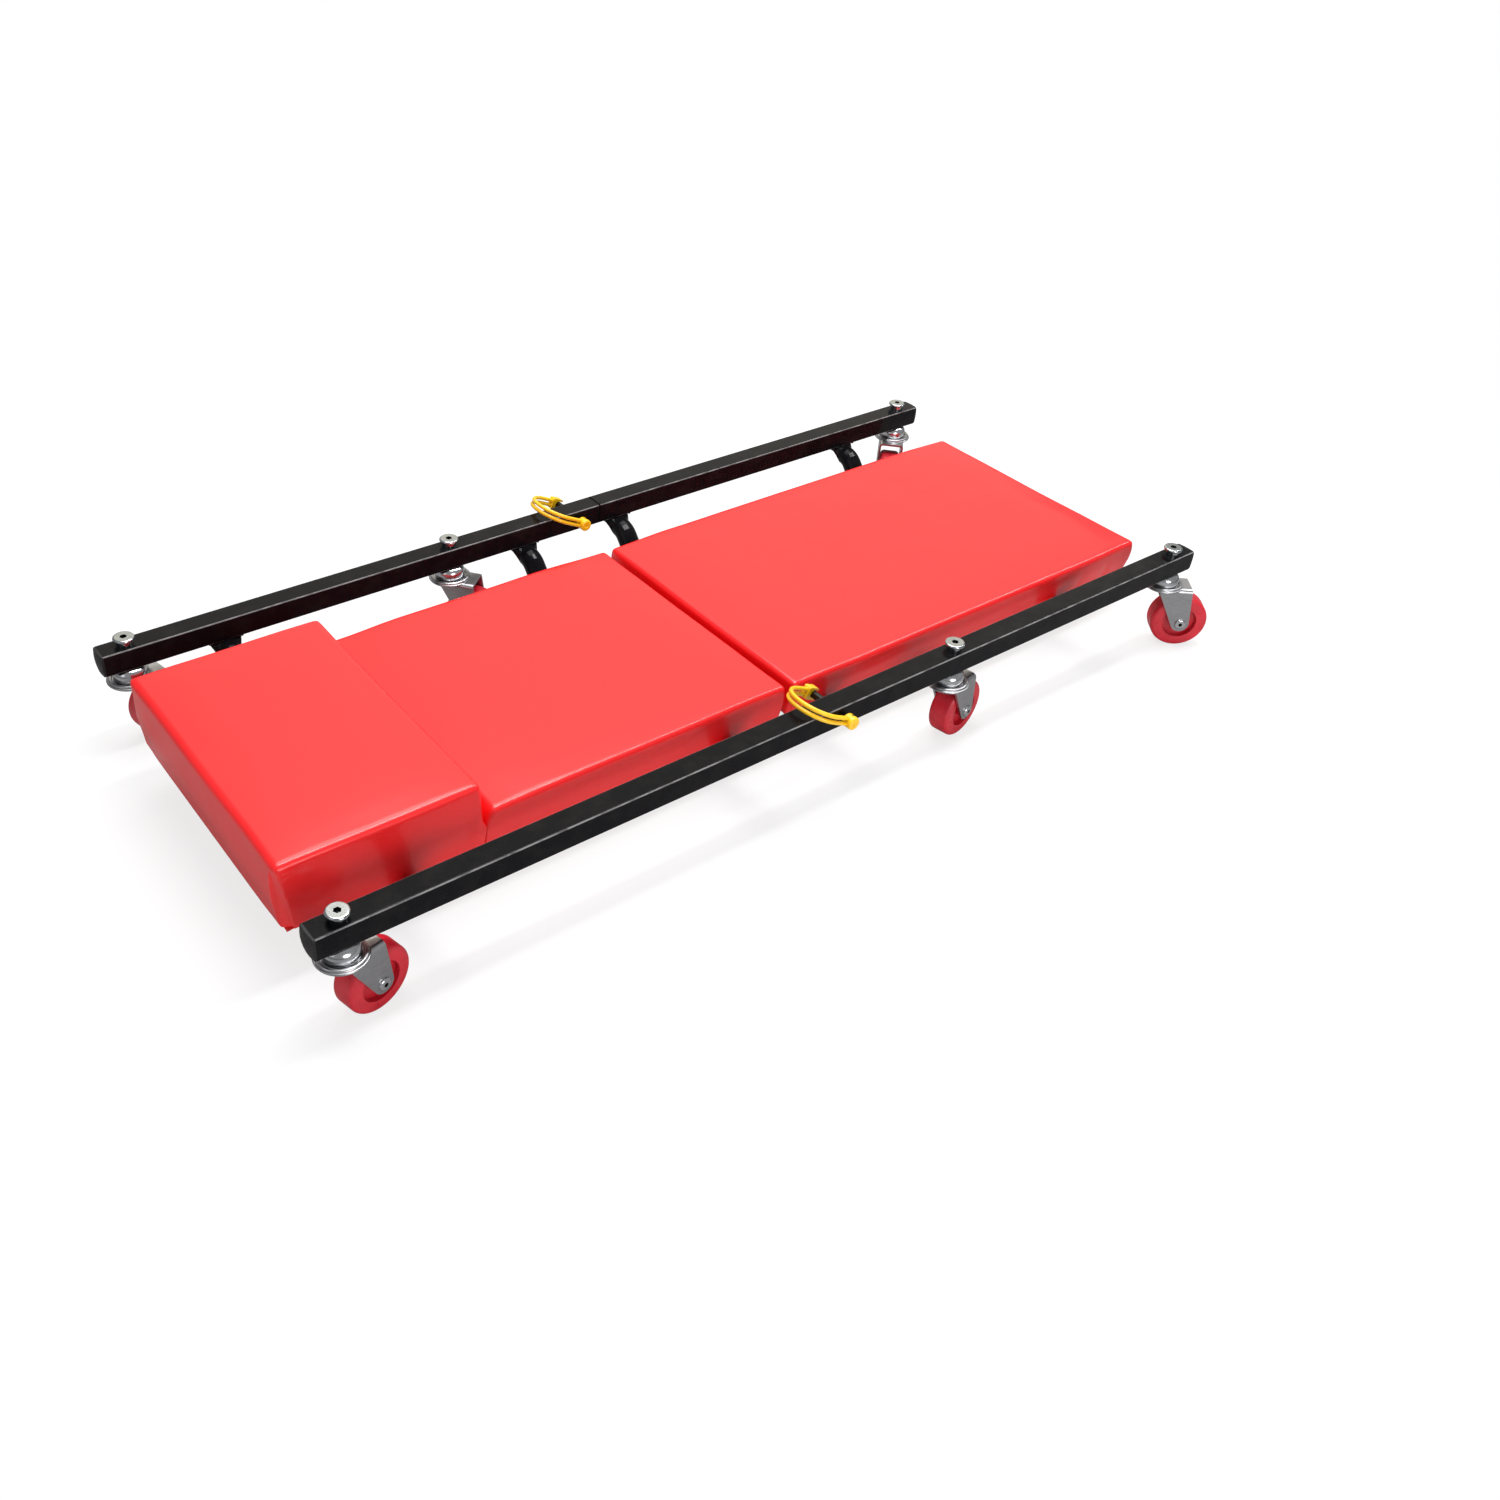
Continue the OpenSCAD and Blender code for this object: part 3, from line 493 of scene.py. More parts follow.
def new_piece(name, bm, material, body="frame"):
    bmesh.ops.recalc_face_normals(bm, faces=bm.faces)
    mesh = bpy.data.meshes.new(name)
    bm.to_mesh(mesh)
    bm.free()
    shade_smooth(mesh)
    mesh.materials.append(material)
    piece = bpy.data.objects.new(name, mesh)
    scene.collection.objects.link(piece)
    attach(piece, body)
    return piece


# %% [markdown]
# ## The foam blocks
# Each pad is a block of foam on a board, with vinyl pulled tight over it. A cube is scaled
# to the room that the CAD keeps for the pad, and its edges are bevelled: 4 mm along the top
# and down the corners, where the foam gives, and hardly at all at the hem. Planes then cut
# the block into cells, so that there are points to bend. The cuts stay clear of the bevels,
# because a thin sliver beside a bevel would show as a wrinkle.

# %% Foam blocks
head_low, head_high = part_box("headrest_pad")
back_low, back_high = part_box("back_pad")
leg_low, leg_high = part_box("leg_pad")
FOAM_EDGE, HEM_EDGE, CELL = 0.0042, 0.0012, 0.006


def bevel(bm, edges, offset, segments):
    bmesh.ops.bevel(bm, geom=edges, offset=offset, offset_type="OFFSET", segments=segments,
                    profile=0.5, affect="EDGES", material=-1, clamp_overlap=True)


def cut_cells(bm, low, high):
    for axis in range(3):
        first, last = low[axis] + 1.5 * FOAM_EDGE, high[axis] - 1.5 * FOAM_EDGE
        count = max(1, round((last - first) / CELL))
        across = Vector([1.0 if i == axis else 0.0 for i in range(3)])
        for i in range(count + 1):
            place = across * (first + (last - first) * i / count)
            bmesh.ops.bisect_plane(bm, geom=bm.verts[:] + bm.edges[:] + bm.faces[:],
                                   dist=1e-6, plane_co=place, plane_no=across)


def foam_block(low, high):
    bm = bmesh.new()
    bmesh.ops.create_cube(bm, size=1.0)
    bmesh.ops.scale(bm, vec=high - low, verts=bm.verts)
    bmesh.ops.translate(bm, vec=(low + high) / 2, verts=bm.verts)
    uprights_and_top = [e for e in bm.edges if any(v.co.z > high.z - 1e-5 for v in e.verts)]
    bevel(bm, uprights_and_top, FOAM_EDGE, 3)
    bottom = [e for e in bm.edges if all(v.co.z < low.z + 1e-5 for v in e.verts)]
    bevel(bm, bottom, HEM_EDGE, 1)
    cut_cells(bm, low, high)
    return bm


# %% [markdown]
# ## Pull the cover tight
# A cover is tight because the foam pushes out against it, and cloth with a little pressure
# does just that. Cloth needs even cells, so a copy of the block is remeshed into voxels and
# blown up, with its underside pinned where the staples hold it. How far a point may move is
# capped, and because a stapled cover has no wrinkles on top, each point takes the mean of
# what its neighbours moved. Each point of the crisp block then moves as the copy's nearest
# points did. So the swelling comes from physics, and the edges from the foam.

# %% Inflate a cover
VOXEL, PRESSURE, MOST_SWELLING = 0.0045, 4.0, 0.0015
SWELL_FRAMES, AVERAGING_ROUNDS, NEIGHBOURS = 20, 30, 6


def plain_copy(piece):
    graph = bpy.context.evaluated_depsgraph_get()
    return bpy.data.meshes.new_from_object(piece.evaluated_get(graph))


def apply_modifiers(piece):
    mesh = plain_copy(piece)
    piece.modifiers.clear()
    piece.data = mesh
    shade_smooth(mesh)


def points_of(mesh):
    flat = np.empty(3 * len(mesh.vertices))
    mesh.vertices.foreach_get("co", flat)
    return flat.reshape(-1, 3)


def blown_up(piece):
    """The points of an even copy as they lie, and how far each moves under pressure."""
    test = bpy.data.objects.new("swelling", piece.data.copy())
    scene.collection.objects.link(test)
    remesh = test.modifiers.new("even_cells", "REMESH")
    remesh.mode = "VOXEL"
    remesh.voxel_size = VOXEL
    apply_modifiers(test)
    rest = points_of(test.data)
    stapled = np.flatnonzero(rest[:, 2] < rest[:, 2].min() + 0.0025)
    test.vertex_groups.new(name="stapled").add(stapled.tolist(), 1.0, "REPLACE")
    cloth = test.modifiers.new("cover", "CLOTH")
    cloth.settings.quality = 5
    cloth.settings.mass = 0.3
    cloth.settings.tension_stiffness = cloth.settings.compression_stiffness = 40
    cloth.settings.bending_stiffness = 6
    cloth.settings.use_pressure = True
    cloth.settings.uniform_pressure_force = PRESSURE
    cloth.settings.vertex_group_mass = "stapled"
    cloth.settings.effector_weights.gravity = 0
    cloth.collision_settings.use_self_collision = False
    cloth.point_cache.frame_start, cloth.point_cache.frame_end = 1, SWELL_FRAMES
    for step in range(1, SWELL_FRAMES + 1):
        scene.frame_set(step)
    blown = plain_copy(test)
    move = points_of(blown) - rest
    scene.frame_set(1)
    length = np.linalg.norm(move, axis=1, keepdims=True)
    move *= np.minimum(1.0, MOST_SWELLING / np.maximum(length, 1e-9))
    move = shared(test.data, move)
    bpy.data.objects.remove(test)
    return rest, move


def shared(mesh, move):
    """Each point's move, averaged with its neighbours' over and over."""
    ends = np.array([tuple(e.vertices) for e in mesh.edges])
    count = np.bincount(ends.ravel(), minlength=len(move))[:, None]
    for _ in range(AVERAGING_ROUNDS):
        total = np.zeros_like(move)
        np.add.at(total, ends[:, 0], move[ends[:, 1]])
        np.add.at(total, ends[:, 1], move[ends[:, 0]])
        move = 0.5 * move + 0.5 * total / count
    return move


def swell(piece):
    """Move each point as the nearest points of the blown-up copy moved."""
    rest, move = blown_up(piece)
    tree = KDTree(len(rest))
    for i, place in enumerate(rest):
        tree.insert(place, i)
    tree.balance()
    for vertex in piece.data.vertices:
        close = tree.find_n(vertex.co, NEIGHBOURS)
        weights = [1 / (distance + 0.001) for _, _, distance in close]
        push = sum((w * move[i] for w, (_, i, _) in zip(weights, close)), np.zeros(3))
        vertex.co += Vector(push / sum(weights))


def subdivide(piece):
    modifier = piece.modifiers.new("smooth", "SUBSURF")
    modifier.levels = modifier.render_levels = 1
    apply_modifiers(piece)


# %% [markdown]
# ## Three cushions
# The photograph shows how much each pad stands up and bulges over its board: the back pad
# is the fullest on top, and the leg pad bows out along its sides. The top edge stands a few
# millimetres proud of the hem at the sides and the headrest's end, and the bow fades at the
# ends, where the folds hold the cover. The hem drops a little below the board, and inside
# it the mesh steps up, because there the bare board shows.

# %% Falloffs
def ease(t):
    """A smooth step from 0 to 1."""
    t = min(1.0, max(0.0, t))
    return t * t * (3 - 2 * t)


def near(value, centre, width):
    """1 at the centre, falling smoothly to 0 at the width."""
    t = abs(value - centre) / width
    return 0.0 if t >= 1 else (1 - t * t) ** 2


# %% Cushions
HEM_DROP, HEM_INSET, BOARD_STEP = 0.0010, 0.009, 0.0030
HELD_LENGTH = 0.08


def fill_out(piece, low, high, rise, bow, proud):
    """Raise the top by rise, bow the long sides by bow, and let the top stand proud.

    Proud is how far at the head end, at both sides and at the foot end.
    """
    half, (proud_head, proud_side, proud_foot) = high.y, proud
    for vertex in piece.data.vertices:
        p = vertex.co
        held = ease((min(p.x - low.x, high.x - p.x) + 0.01) / HELD_LENGTH)
        height = (p.z - low.z) / (high.z - low.z)
        inside = min(p.x - low.x, high.x - p.x, half - abs(p.y))
        out = 0.25 + 0.75 * ease(height / 0.6)
        fraction = (p.x - low.x) / (high.x - low.x)
        p.z += rise * (0.8 + 0.2 * held) * ease(height)
        p.y += out * (bow * held * (p.y / half) ** 3 + proud_side * p.y / half)
        p.x += out * (proud_foot * fraction ** 3 - proud_head * (1 - fraction) ** 3)
        if height < 0.02:
            p.z += BOARD_STEP * ease((inside - HEM_INSET) / 0.004) - HEM_DROP


def cushion(name, low, high, rise, bow, proud):
    piece = new_piece(name, foam_block(low, high), VINYL)
    swell(piece)
    fill_out(piece, low, high, rise, bow, proud)
    subdivide(piece)
    shape = points_of(piece.data)
    print(name, len(piece.data.polygons), "faces, from", (1000 * shape.min(0)).round(1),
          "to", (1000 * shape.max(0)).round(1))
    return piece


headrest = cushion("headrest_cushion", head_low, head_high, 0.0022, 0.0004,
                   (0.0042, 0.0027, 0))
back_cushion = cushion("back_cushion", back_low, back_high, 0.0068, 0.0018,
                       (0, 0.0038, 0.0006))
leg_cushion = cushion("leg_cushion", leg_low, leg_high, 0.0026, 0.0026,
                      (0.0004, 0.0047, 0.0020))
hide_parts("headrest_pad")
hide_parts("back_pad")
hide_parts("leg_pad")

# %% [markdown]
# ## Where headrest and back meet
# The headrest and the back share one cover. Low down the side is one unbroken sheet, so
# there the two meshes' corners are squared up and meet flush. Above that the vinyl is
# tucked in: both ends lean away from the joint and leave a notch.

# %% The shared joint
JOINT_X = (head_high.x + back_low.x) / 2
NOTCH_Z = 0.0633
CORNER = 0.011


def close_joint(piece, side, lean):
    """Square the corners below the notch, and lean the end back above it."""
    shape = points_of(piece.data)
    flat = shape[abs(shape[:, 0] - JOINT_X) > 0.02]
    known = {}

    def side_y(z):
        """How far out the side lies at this height, away from the corner."""
        key = round(z * 1000)
        if key not in known:
            row = flat[(abs(flat[:, 2] - z) < 0.004) & (abs(flat[:, 0] - JOINT_X) < 0.035)]
            known[key] = abs(row[:, 1]).max()
        return known[key]

    for vertex in piece.data.vertices:
        p = vertex.co
        inner = (JOINT_X - p.x) * side
        if inner > 0.05:
            continue
        low_down = 1 - ease((p.z - NOTCH_Z + 0.002) / 0.004)
        dx, dy = CORNER - inner, abs(p.y) - (side_y(p.z) - CORNER)
        if low_down > 0 and dx > 0 and dy > 0 and vertex.normal.z > -0.7:
            grow = 1 + low_down * (CORNER / max(dx, dy) - 1)
            p.x += side * dx * (grow - 1)
            p.y += math.copysign(dy * (grow - 1), p.y)
        elif low_down > 0 and 0 < inner < 0.004:
            p.x += side * low_down * inner
        over = max(0.0, p.z - NOTCH_Z)
        p.x -= side * lean * over * near(inner, 0, 0.04)
        if (p.x - JOINT_X) * side > -0.0001:
            p.x = JOINT_X - 0.0001 * side
    piece.data.update()
    piece.data.set_sharp_from_angle(angle=math.radians(55))


close_joint(headrest, 1, 0.05)
close_joint(back_cushion, -1, 0.42)
print("the covers meet at x =", round(1000 * JOINT_X, 1), "mm")

# %% [markdown]
# ## Work the covers by hand
# The squares of a simulation are too coarse for a crease. At each corner the spare vinyl
# is folded over like the end of a parcel, and the edge of the fold runs down the pad's long
# side, a few millimetres from the corner. Two bisect cuts put points exactly on both sides
# of that line. Then the flap is lifted a little, and the wedge between it and the corner is
# pressed in and rounded off, so the crease is sharp in a mesh that is otherwise soft.

# %% Fold a corner
FOLD_WIDTH, FOLD_LIFT, FOLD_PRESS = 0.0007, 0.0008, 0.0024
FOLD_REACH, FOLD_LEAN = 0.016, 0.15


def fold_corner(piece, end_x, side_y, fold_x, rounding):
    """Crease the long side at side_y at fold_x, and round the wedge out to the corner."""
    inward = 1 if fold_x > end_x else -1
    outward = 1 if side_y > 0 else -1
    shape = points_of(piece.data)
    top = shape[:, 2].max()
    by_fold = shape[(abs(shape[:, 0] - fold_x) < 0.006) & (shape[:, 2] < (top + 0.05) / 2)]
    side_y = outward * (outward * by_fold[:, 1]).max()
    across = Vector((1, 0, inward * FOLD_LEAN)).normalized()
    anchor = Vector((fold_x, side_y, (top + 0.04) / 2))
    bm = bmesh.new()
    bm.from_mesh(piece.data)
    for shift in (0.0, -inward * FOLD_WIDTH):
        close = [f for f in bm.faces
                 if abs((f.calc_center_median() - anchor).dot(across)) < 0.006
                 and abs(f.calc_center_median().y - side_y) < 0.014]
        edges = {e for f in close for e in f.edges}
        verts = {v for f in close for v in f.verts}
        bmesh.ops.bisect_plane(bm, geom=close + list(edges) + list(verts), dist=1e-6,
                               plane_co=anchor + shift * across, plane_no=across)
    for vert in bm.verts:
        off = (vert.co - anchor).dot(across) * inward
        beside = ease(1 - (side_y - vert.co.y) * outward / 0.011)
        deep = ease((top - 0.0035 - vert.co.z) / 0.008)
        if off > FOLD_REACH or beside == 0 or deep == 0:
            continue
        if off > -1e-5:
            push = FOLD_LIFT * near(off, 0, FOLD_REACH)
        else:
            lean = inward * FOLD_LEAN * (vert.co.z - anchor.z)
            wide = max(0.002, abs(fold_x - end_x) - lean)
            push = (-FOLD_PRESS * min(1, rounding / 0.002) * ease(-off / FOLD_WIDTH)
                    - rounding * min(1.0, -off / wide) ** 2)
        vert.co.y += outward * push * beside * deep
    bm.to_mesh(piece.data)
    bm.free()
    shade_smooth(piece.data)


corner_fold, _ = place_on([headrest], *IMAGE_POINTS["corner_fold"])
FOLD_X = corner_fold.x - head_low.x
print("the fold stands", round(1000 * FOLD_X, 1), "mm from the corner")
for piece, x, inward, rounding in (
        (headrest, head_low.x, 1, 0.0044), (back_cushion, back_high.x, -1, 0.0009),
        (leg_cushion, leg_low.x, 1, 0.0005), (leg_cushion, leg_high.x, -1, 0.0026)):
    for side_y in (head_low.y, head_high.y):
        fold_corner(piece, x, side_y, x + inward * FOLD_X, rounding)

# %% [markdown]
# ## Puckers and dents
# Away from the folds the vinyl is nearly flat. It keeps shallow upright puckers where it
# is gathered towards a corner, and the foam under it is never quite level. Both are written
# as small pushes along the surface normal.

# %% Puckers and dents
def work(piece, push):
    """Move each point of a piece along its normal by push(point, normal), in metres."""
    normals = [n.vector.copy() for n in piece.data.vertex_normals]
    for vertex, normal in zip(piece.data.vertices, normals):
        vertex.co += normal * push(vertex.co, normal)
    piece.data.update()


def dents(point, normal):
    """The foam's slow unevenness, a little more on the sides than on top."""
    depth = 0.00012 if normal.z > 0.7 else 0.0004
    return depth * noise.noise(point * 19) if normal.z > -0.3 else 0.0


def pucker_drift(z):
    """How far a pucker leans off its own x at a height."""
    return 0.1 * (z - 0.05)


def puckers(places, depth=0.0008, width=0.008):
    """Upright dips in a long side at each x of a list, deepest near the hem."""
    def push(point, normal):
        if abs(normal.y) < 0.6:
            return 0.0
        low = ease((0.066 - point.z) / 0.016)
        return -depth * low * sum(near(point.x, x - pucker_drift(point.z), width)
                                  for x in places)
    return push


pucker_places = {name: place_on([leg_cushion], *IMAGE_POINTS[name])[0]
                 for name in ("leg_pucker_near", "leg_pucker_far")}
leg_puckers = [place.x + pucker_drift(place.z) for place in pucker_places.values()]
random.seed(7)
wide_dips = [leg_low.x + 0.03 + random.random() * 0.05, leg_low.x + 0.14, leg_low.x + 0.25]
work(leg_cushion, puckers(leg_puckers))
work(leg_cushion, puckers(wide_dips, 0.0004, 0.014))
work(back_cushion, puckers([back_high.x - 0.03, back_high.x - 0.09, back_low.x + 0.04],
                           0.0005, 0.012))
work(headrest, puckers([head_high.x - 0.035, head_low.x + 0.05], 0.0005, 0.014))
for piece in (headrest, back_cushion, leg_cushion):
    work(piece, dents)
print("puckers on the leg pad at", [round(1000 * x) for x in leg_puckers])

# %% [markdown]
# ## Underneath: the hem and its staples
# Turned over, the creeper shows how it is upholstered. The vinyl is folded under the board
# and stapled about every 45 mm, and its cut edge wanders, because it is trimmed by hand
# after stapling. A flat grid with its middle deleted gives the strip, and solidify gives
# it the thickness of vinyl.

# %% Hems
HEM_TOP, VINYL_THICK = leg_low.z - HEM_DROP - 0.0001, 0.0005
HEM_WIDE, HEM_CUT, HEM_WANDER = 0.016, 0.0185, 0.0035
HEM_MARGIN = Vector((0.0016, 0.0016, 0))


def hem(name, low, high, seed):
    """A frame of vinyl under a board, whose inner edge wanders."""
    low, high = low + HEM_MARGIN, high - HEM_MARGIN
    bm = bmesh.new()
    bmesh.ops.create_grid(bm, x_segments=84, y_segments=48, size=0.5)
    bmesh.ops.scale(bm, vec=(high.x - low.x, high.y - low.y, 1), verts=bm.verts)
    middle = (low + high) / 2
    bmesh.ops.translate(bm, vec=(middle.x, middle.y, HEM_TOP), verts=bm.verts)

    def depth(p):
        return min(p.x - low.x, high.x - p.x, p.y - low.y, high.y - p.y)

    inner = [f for f in bm.faces if depth(f.calc_center_median()) > HEM_CUT]
    bmesh.ops.delete(bm, geom=inner, context="FACES")
    for vert in bm.verts:
        if depth(vert.co) > HEM_WIDE:
            spot = Vector((vert.co.x * 26, vert.co.y * 26, seed))
            away = Vector((vert.co.x - middle.x, vert.co.y - middle.y, 0)).normalized()
            vert.co += away * (HEM_WANDER * noise.noise(spot))
        corner = min(vert.co.x - low.x, high.x - vert.co.x) - min(
            vert.co.y - low.y, high.y - vert.co.y)
        vert.co.z -= 0.0006 * near(corner, 0, 0.005)
    bmesh.ops.solidify(bm, geom=list(bm.faces), thickness=VINYL_THICK)
    piece = new_piece(name, bm, VINYL)
    print(name, len(piece.data.polygons), "faces")


hem("cover_hem_head", head_low, Vector((back_high.x, back_high.y, 0)), 3)
hem("cover_hem_foot", leg_low, leg_high, 8)

# %% [markdown]
# ## Staples
# One staple is a bent wire: a straight crown with its two legs going up into the board.
# The wire is a thin cylinder with six cuts, whose ends are turned up.

# %% Staples
WIRE_R, WIRE_LENGTH, CROWN_HALF, STAPLE_INSET = 0.0006, 0.0105, 0.0038, 0.0115


def cut_rod(bm, radius, length, segments, cuts):
    """A capped cylinder along Z with rings of points down its length; gives its points."""
    first = len(bm.verts)
    made = bmesh.ops.create_cone(bm, cap_ends=True, segments=segments, radius1=radius,
                                 radius2=radius, depth=length)
    edges = {e for v in made["verts"] for e in v.link_edges
             if abs(e.verts[0].co.z - e.verts[1].co.z) > length / 2}
    bmesh.ops.subdivide_edges(bm, edges=list(edges), cuts=cuts)
    return list(bm.verts)[first:]


def add_staple(bm, centre, angle):
    verts = cut_rod(bm, WIRE_R, WIRE_LENGTH, 8, 6)
    bmesh.ops.rotate(bm, verts=verts, matrix=Matrix.Rotation(math.pi / 2, 3, "Y"))
    for vert in verts:
        vert.co.z += 0.0012 * ease((abs(vert.co.x) - CROWN_HALF) / 0.0014)
    bmesh.ops.rotate(bm, verts=verts, matrix=Matrix.Rotation(angle, 3, "Z"))
    bmesh.ops.translate(bm, vec=centre, verts=verts)


def inset():
    """How far in from the pad's edge the next staple went; no two are the same."""
    return STAPLE_INSET + random.uniform(-0.0015, 0.0015)


def staples():
    random.seed(21)
    bm = bmesh.new()
    z = HEM_TOP - VINYL_THICK - 0.0003
    for low, high in ((head_low, back_high), (leg_low, leg_high)):
        for side_y, inward in ((low.y, 1), (high.y, -1)):
            x = low.x + 0.028
            while x < high.x - 0.02:
                add_staple(bm, (x, side_y + inward * inset(), z), random.gauss(0, 0.12))
                x += random.uniform(0.038, 0.047)
        for end_x, inward in ((low.x, 1), (high.x, -1)):
            y = low.y + 0.03
            while y < high.y - 0.02:
                add_staple(bm, (end_x + inward * inset(), y, z),
                           math.pi / 2 + random.gauss(0, 0.12))
                y += random.uniform(0.036, 0.046)
    piece = new_piece("cover_staples", bm, ZINC)
    print("staples:", len(piece.data.polygons), "faces")


staples()

# %% [markdown]
# ## Weld beads
# The pressed ends of the cross tubes are welded to the rails' undersides along both edges.
# A hand weld is a row of overlapping puddles. Each bead here is a cylinder with many cuts,
# swollen in a regular beat that a little noise upsets, and it is painted with the frame.

# %% Weld beads
BEAD_R, BEAT = 0.0017, 0.0021
RAIL_WIDE, BEAD_DROP, END_BEAD_DROP = 0.019, 0.0004, 0.0006


def add_bead(bm, start, end, seed):
    along = Vector(end) - Vector(start)
    verts = cut_rod(bm, BEAD_R, along.length, 10, 20)
    for vert in verts:
        z = vert.co.z
        beat = 0.82 + 0.2 * abs(math.sin(math.pi * z / BEAT)) + 0.14 * noise.noise(
            Vector((z * 300, seed, 0)))
        taper = math.sqrt(max(0.05, min(1.0, (along.length / 2 - abs(z)) / 0.0016)))
        vert.co.x *= beat * taper
        vert.co.y *= beat * taper
    bmesh.ops.rotate(bm, verts=verts, matrix=along.to_track_quat("Z", "Y").to_matrix())
    bmesh.ops.translate(bm, vec=(Vector(start) + Vector(end)) / 2, verts=verts)


def weld_beads():
    rail_low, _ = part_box("head_rail_right")
    bm = bmesh.new()
    for number, name in enumerate(("head_end_tube", "head_inner_tube", "foot_inner_tube",
                                   "foot_end_tube")):
        low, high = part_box(name)
        for side in (1, -1):
            inner = side * (abs(rail_low.y + RAIL_WIDE) + 0.001)
            outer = side * (high.y - 0.0006)
            z = rail_low.z - BEAD_DROP
            for x in (low.x - 0.0004, high.x + 0.0004):
                add_bead(bm, (x, inner, z), (x, outer, z), number * 4 + side)
            y, z = outer + side * 0.0006, rail_low.z - END_BEAD_DROP
            add_bead(bm, (low.x + 0.002, y, z), (high.x - 0.002, y, z), number + 30)
    piece = new_piece("weld_beads", bm, BLACK)
    print("weld beads:", len(piece.data.polygons), "faces")


weld_beads()

# %% [markdown]
# ## Floor, backdrop and light
# The photograph has no ground at all, only white. A pale floor shows white to the camera
# while it still catches a soft shadow. In reflections it shows too, but as a studio floor
# that falls into shade, so that gloss and metal keep their dark halves. The lamps are a
# wide soft box overhead, a big warm panel behind that the tops mirror, a long tube that
# draws the bright lines along the edges, and weaker boxes at the head and the near side, so
# the tops are light and the sides fall off.

# %% Floor and backdrop
def backdrop_white(name, keep, mirrored):
    """White to the camera and mirrored in reflections; keep is how much shadow stays."""
    f = Finish(name)
    paper = f.noise(4.0, 2.0)
    f.join(f.blend(paper, (0.86, 0.86, 0.86, 1), (0.84, 0.84, 0.84, 1)), "Base Color")
    f.shader.inputs["Roughness"].default_value = 0.9
    path = f.add("ShaderNodeLightPath")
    bright = f.span(path.outputs["Is Camera Ray"], mirrored, 1.0)
    glow = f.add("ShaderNodeEmission", Strength=bright)
    glow.inputs["Color"].default_value = (1, 1, 1, 1)
    seen = f.maths("MAXIMUM", path.outputs["Is Camera Ray"], path.outputs["Is Glossy Ray"])
    away = f.add("ShaderNodeVectorMath", {"operation": "LENGTH"}, Vector=f.place)
    white = f.span(away.outputs["Value"], 1 - keep, 1.0, 0.55, 1.1)
    mix = f.add("ShaderNodeMixShader")
    f.tree.links.new(f.maths("MULTIPLY", seen, white), mix.inputs[0])
    f.tree.links.new(f.shader.outputs[0], mix.inputs[1])
    f.tree.links.new(glow.outputs[0], mix.inputs[2])
    f.tree.links.new(mix.outputs[0], f.tree.nodes["Material Output"].inputs["Surface"])
    return f.material


def studio_floor():
    bm = bmesh.new()
    bmesh.ops.create_circle(bm, cap_ends=True, radius=6.0, segments=96)
    mesh = bpy.data.meshes.new("floor")
    bm.to_mesh(mesh)
    bm.free()
    mesh.materials.append(backdrop_white("studio_floor", 0.25, 0.08))
    floor = bpy.data.objects.new("floor", mesh)
    scene.collection.objects.link(floor)


studio_floor()

# %% World and lamps
def hang(name, lamp, power, place):
    lamp.energy = power
    holder = bpy.data.objects.new(name, lamp)
    scene.collection.objects.link(holder)
    holder.location = place
    return holder


def soft_box(name, place, size, power, colour=(1, 1, 1)):
    """A round soft box that looks at the creeper."""
    lamp = bpy.data.lights.new(name, "AREA")
    lamp.color = colour
    lamp.shape, lamp.size = "DISK", size
    away = Vector((0, 0, 0.05)) - Vector(place)
    hang(name, lamp, power, place).rotation_euler = away.to_track_quat("-Z", "Y").to_euler()


def strip_light(name, place, length, width, power):
    """A long tube along X that looks straight down."""
    lamp = bpy.data.lights.new(name, "AREA")
    lamp.shape, lamp.size, lamp.size_y = "RECTANGLE", length, width
    hang(name, lamp, power, place)


def white_world():
    """White to the camera, dimmer in reflections, and a soft fill to everything else."""
    world = bpy.data.worlds.new("studio")
    world.use_nodes = True
    tree = world.node_tree
    tree.nodes.clear()
    path = tree.nodes.new("ShaderNodeLightPath")

    def glow(colour, strength):
        node = tree.nodes.new("ShaderNodeBackground")
        node.inputs["Color"].default_value = colour
        node.inputs["Strength"].default_value = strength
        return node

    def instead(ray, plain, other):
        node = tree.nodes.new("ShaderNodeMixShader")
        ends = path.outputs[ray], plain.outputs[0], other.outputs[0]
        for output, socket in zip(ends, node.inputs):
            tree.links.new(output, socket)
        return node

    fill = glow((0.93, 0.96, 1.0, 1), 0.42)
    unseen = instead("Is Glossy Ray", fill, glow((0.97, 0.98, 1.0, 1), 0.3))
    mix = instead("Is Camera Ray", unseen, glow((1, 1, 1, 1), 1.0))
    output = tree.nodes.new("ShaderNodeOutputWorld")
    tree.links.new(mix.outputs[0], output.inputs["Surface"])
    scene.world = world


white_world()
soft_box("overhead", (0.15, 0.5, 2.2), 1.7, 36)
soft_box("back_panel", (1.35, 1.95, 1.75), 3.3, 17, (1.0, 0.93, 0.74))
strip_light("edge_line", (1.15, -0.12, 1.75), 3.0, 0.16, 36)
soft_box("head_side", (-2.0, -0.4, 0.9), 1.0, 1.5)
soft_box("near_side", (-0.3, -2.1, 0.7), 1.2, 17)
scene.view_settings.view_transform = "Standard"
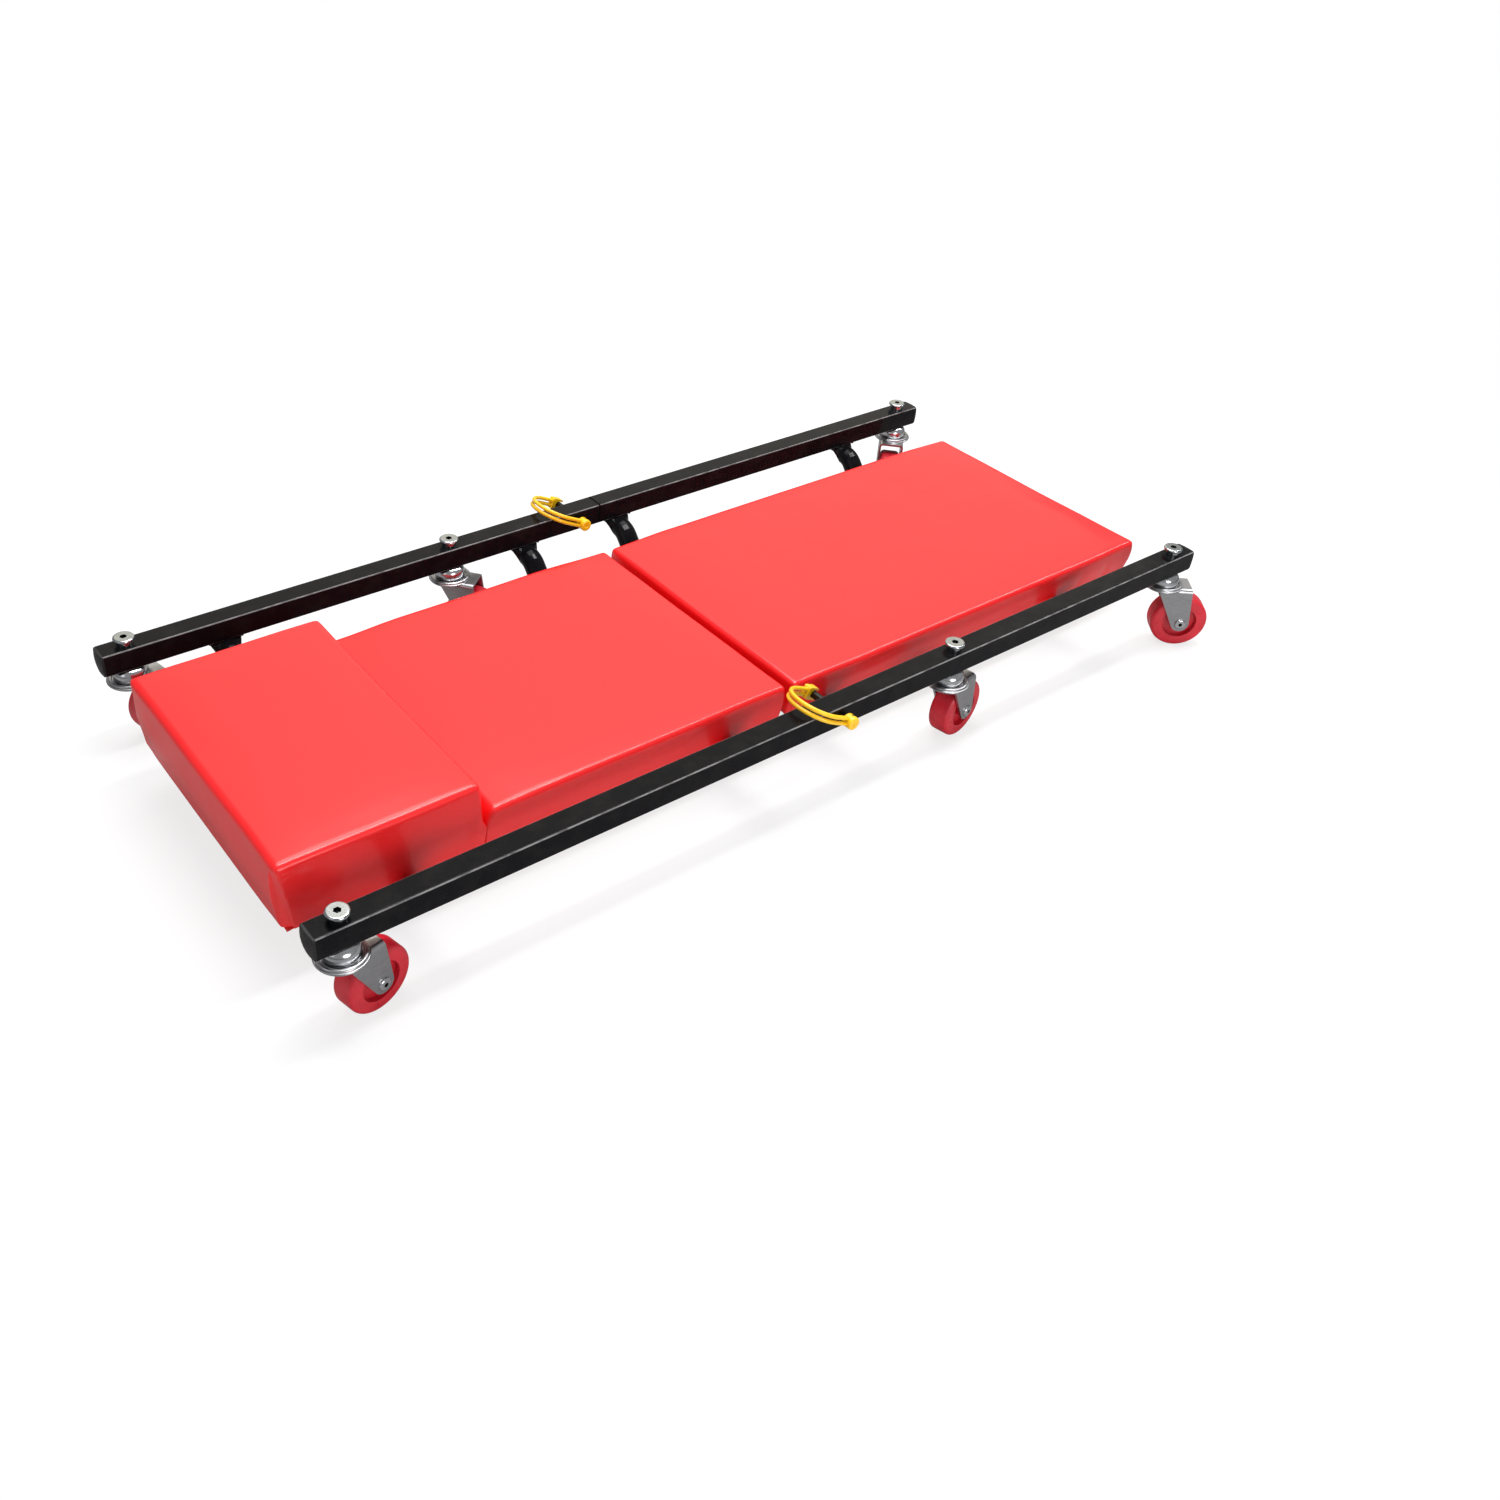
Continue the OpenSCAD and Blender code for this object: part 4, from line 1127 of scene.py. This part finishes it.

# %% [markdown]
# ## Where the image points show
# The last cell measures where each image point's thing shows in this camera.

# %% Measure the image points
def box_pixels():
    graph = bpy.context.evaluated_depsgraph_get()
    xs, ys = [], []
    for thing in scene.objects:
        if thing.type != "MESH" or thing.hide_render or thing.name == "floor":
            continue
        for vertex in thing.evaluated_get(graph).data.vertices:
            x, y = pixel_of(vertex.co)
            xs.append(x)
            ys.append(y)
    return min(xs), max(xs), min(ys), max(ys)


def nearest(piece, place):
    """The finished piece's point nearest to a place."""
    shape = points_of(piece.data)
    return shape[np.linalg.norm(shape - np.array(place), axis=1).argmin()]


def corner(piece, *towards):
    """The finished piece's point that lies farthest in a direction."""
    shape = points_of(piece.data)
    return shape[(shape @ np.array(towards)).argmax()]


def shown_points():
    left, right, top, bottom = box_pixels()
    shown = {"object_left": (left, None), "object_right": (right, None),
             "object_top": (None, top), "object_bottom": (None, bottom)}
    z = (NUT_LOW.z + NUT_HIGH.z) / 2
    for name, x, y in (("head_right", -END_NUT_X, -NUT_Y), ("mid_right", MID_NUT_X, -NUT_Y),
                       ("foot_right", END_NUT_X, -NUT_Y), ("head_left", -END_NUT_X, NUT_Y),
                       ("foot_left", END_NUT_X, NUT_Y)):
        shown["nut_" + name] = pixel_of((x, y, z))
    for name, piece, x, y in (("headrest_near", headrest, -1, -1),
                              ("headrest_far", headrest, -1, 1),
                              ("back_pad_near", back_cushion, 1, -1),
                              ("leg_pad_far", leg_cushion, 1, 1),
                              ("leg_pad_near", leg_cushion, 1, -1)):
        shown[name + "_corner"] = pixel_of(corner(piece, x, y, 1))
    shown["cover_notch"] = pixel_of((JOINT_X, head_low.y, NOTCH_Z))
    shown["corner_fold"] = pixel_of(nearest(headrest, corner_fold))
    for name, place in pucker_places.items():
        shown[name] = pixel_of(nearest(leg_cushion, place))
    for side in ("right", "left"):
        low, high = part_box("bail_rivet_" + side)
        shown["bail_boss_" + side] = pixel_of((low + high) / 2)
    return shown


shown = shown_points()
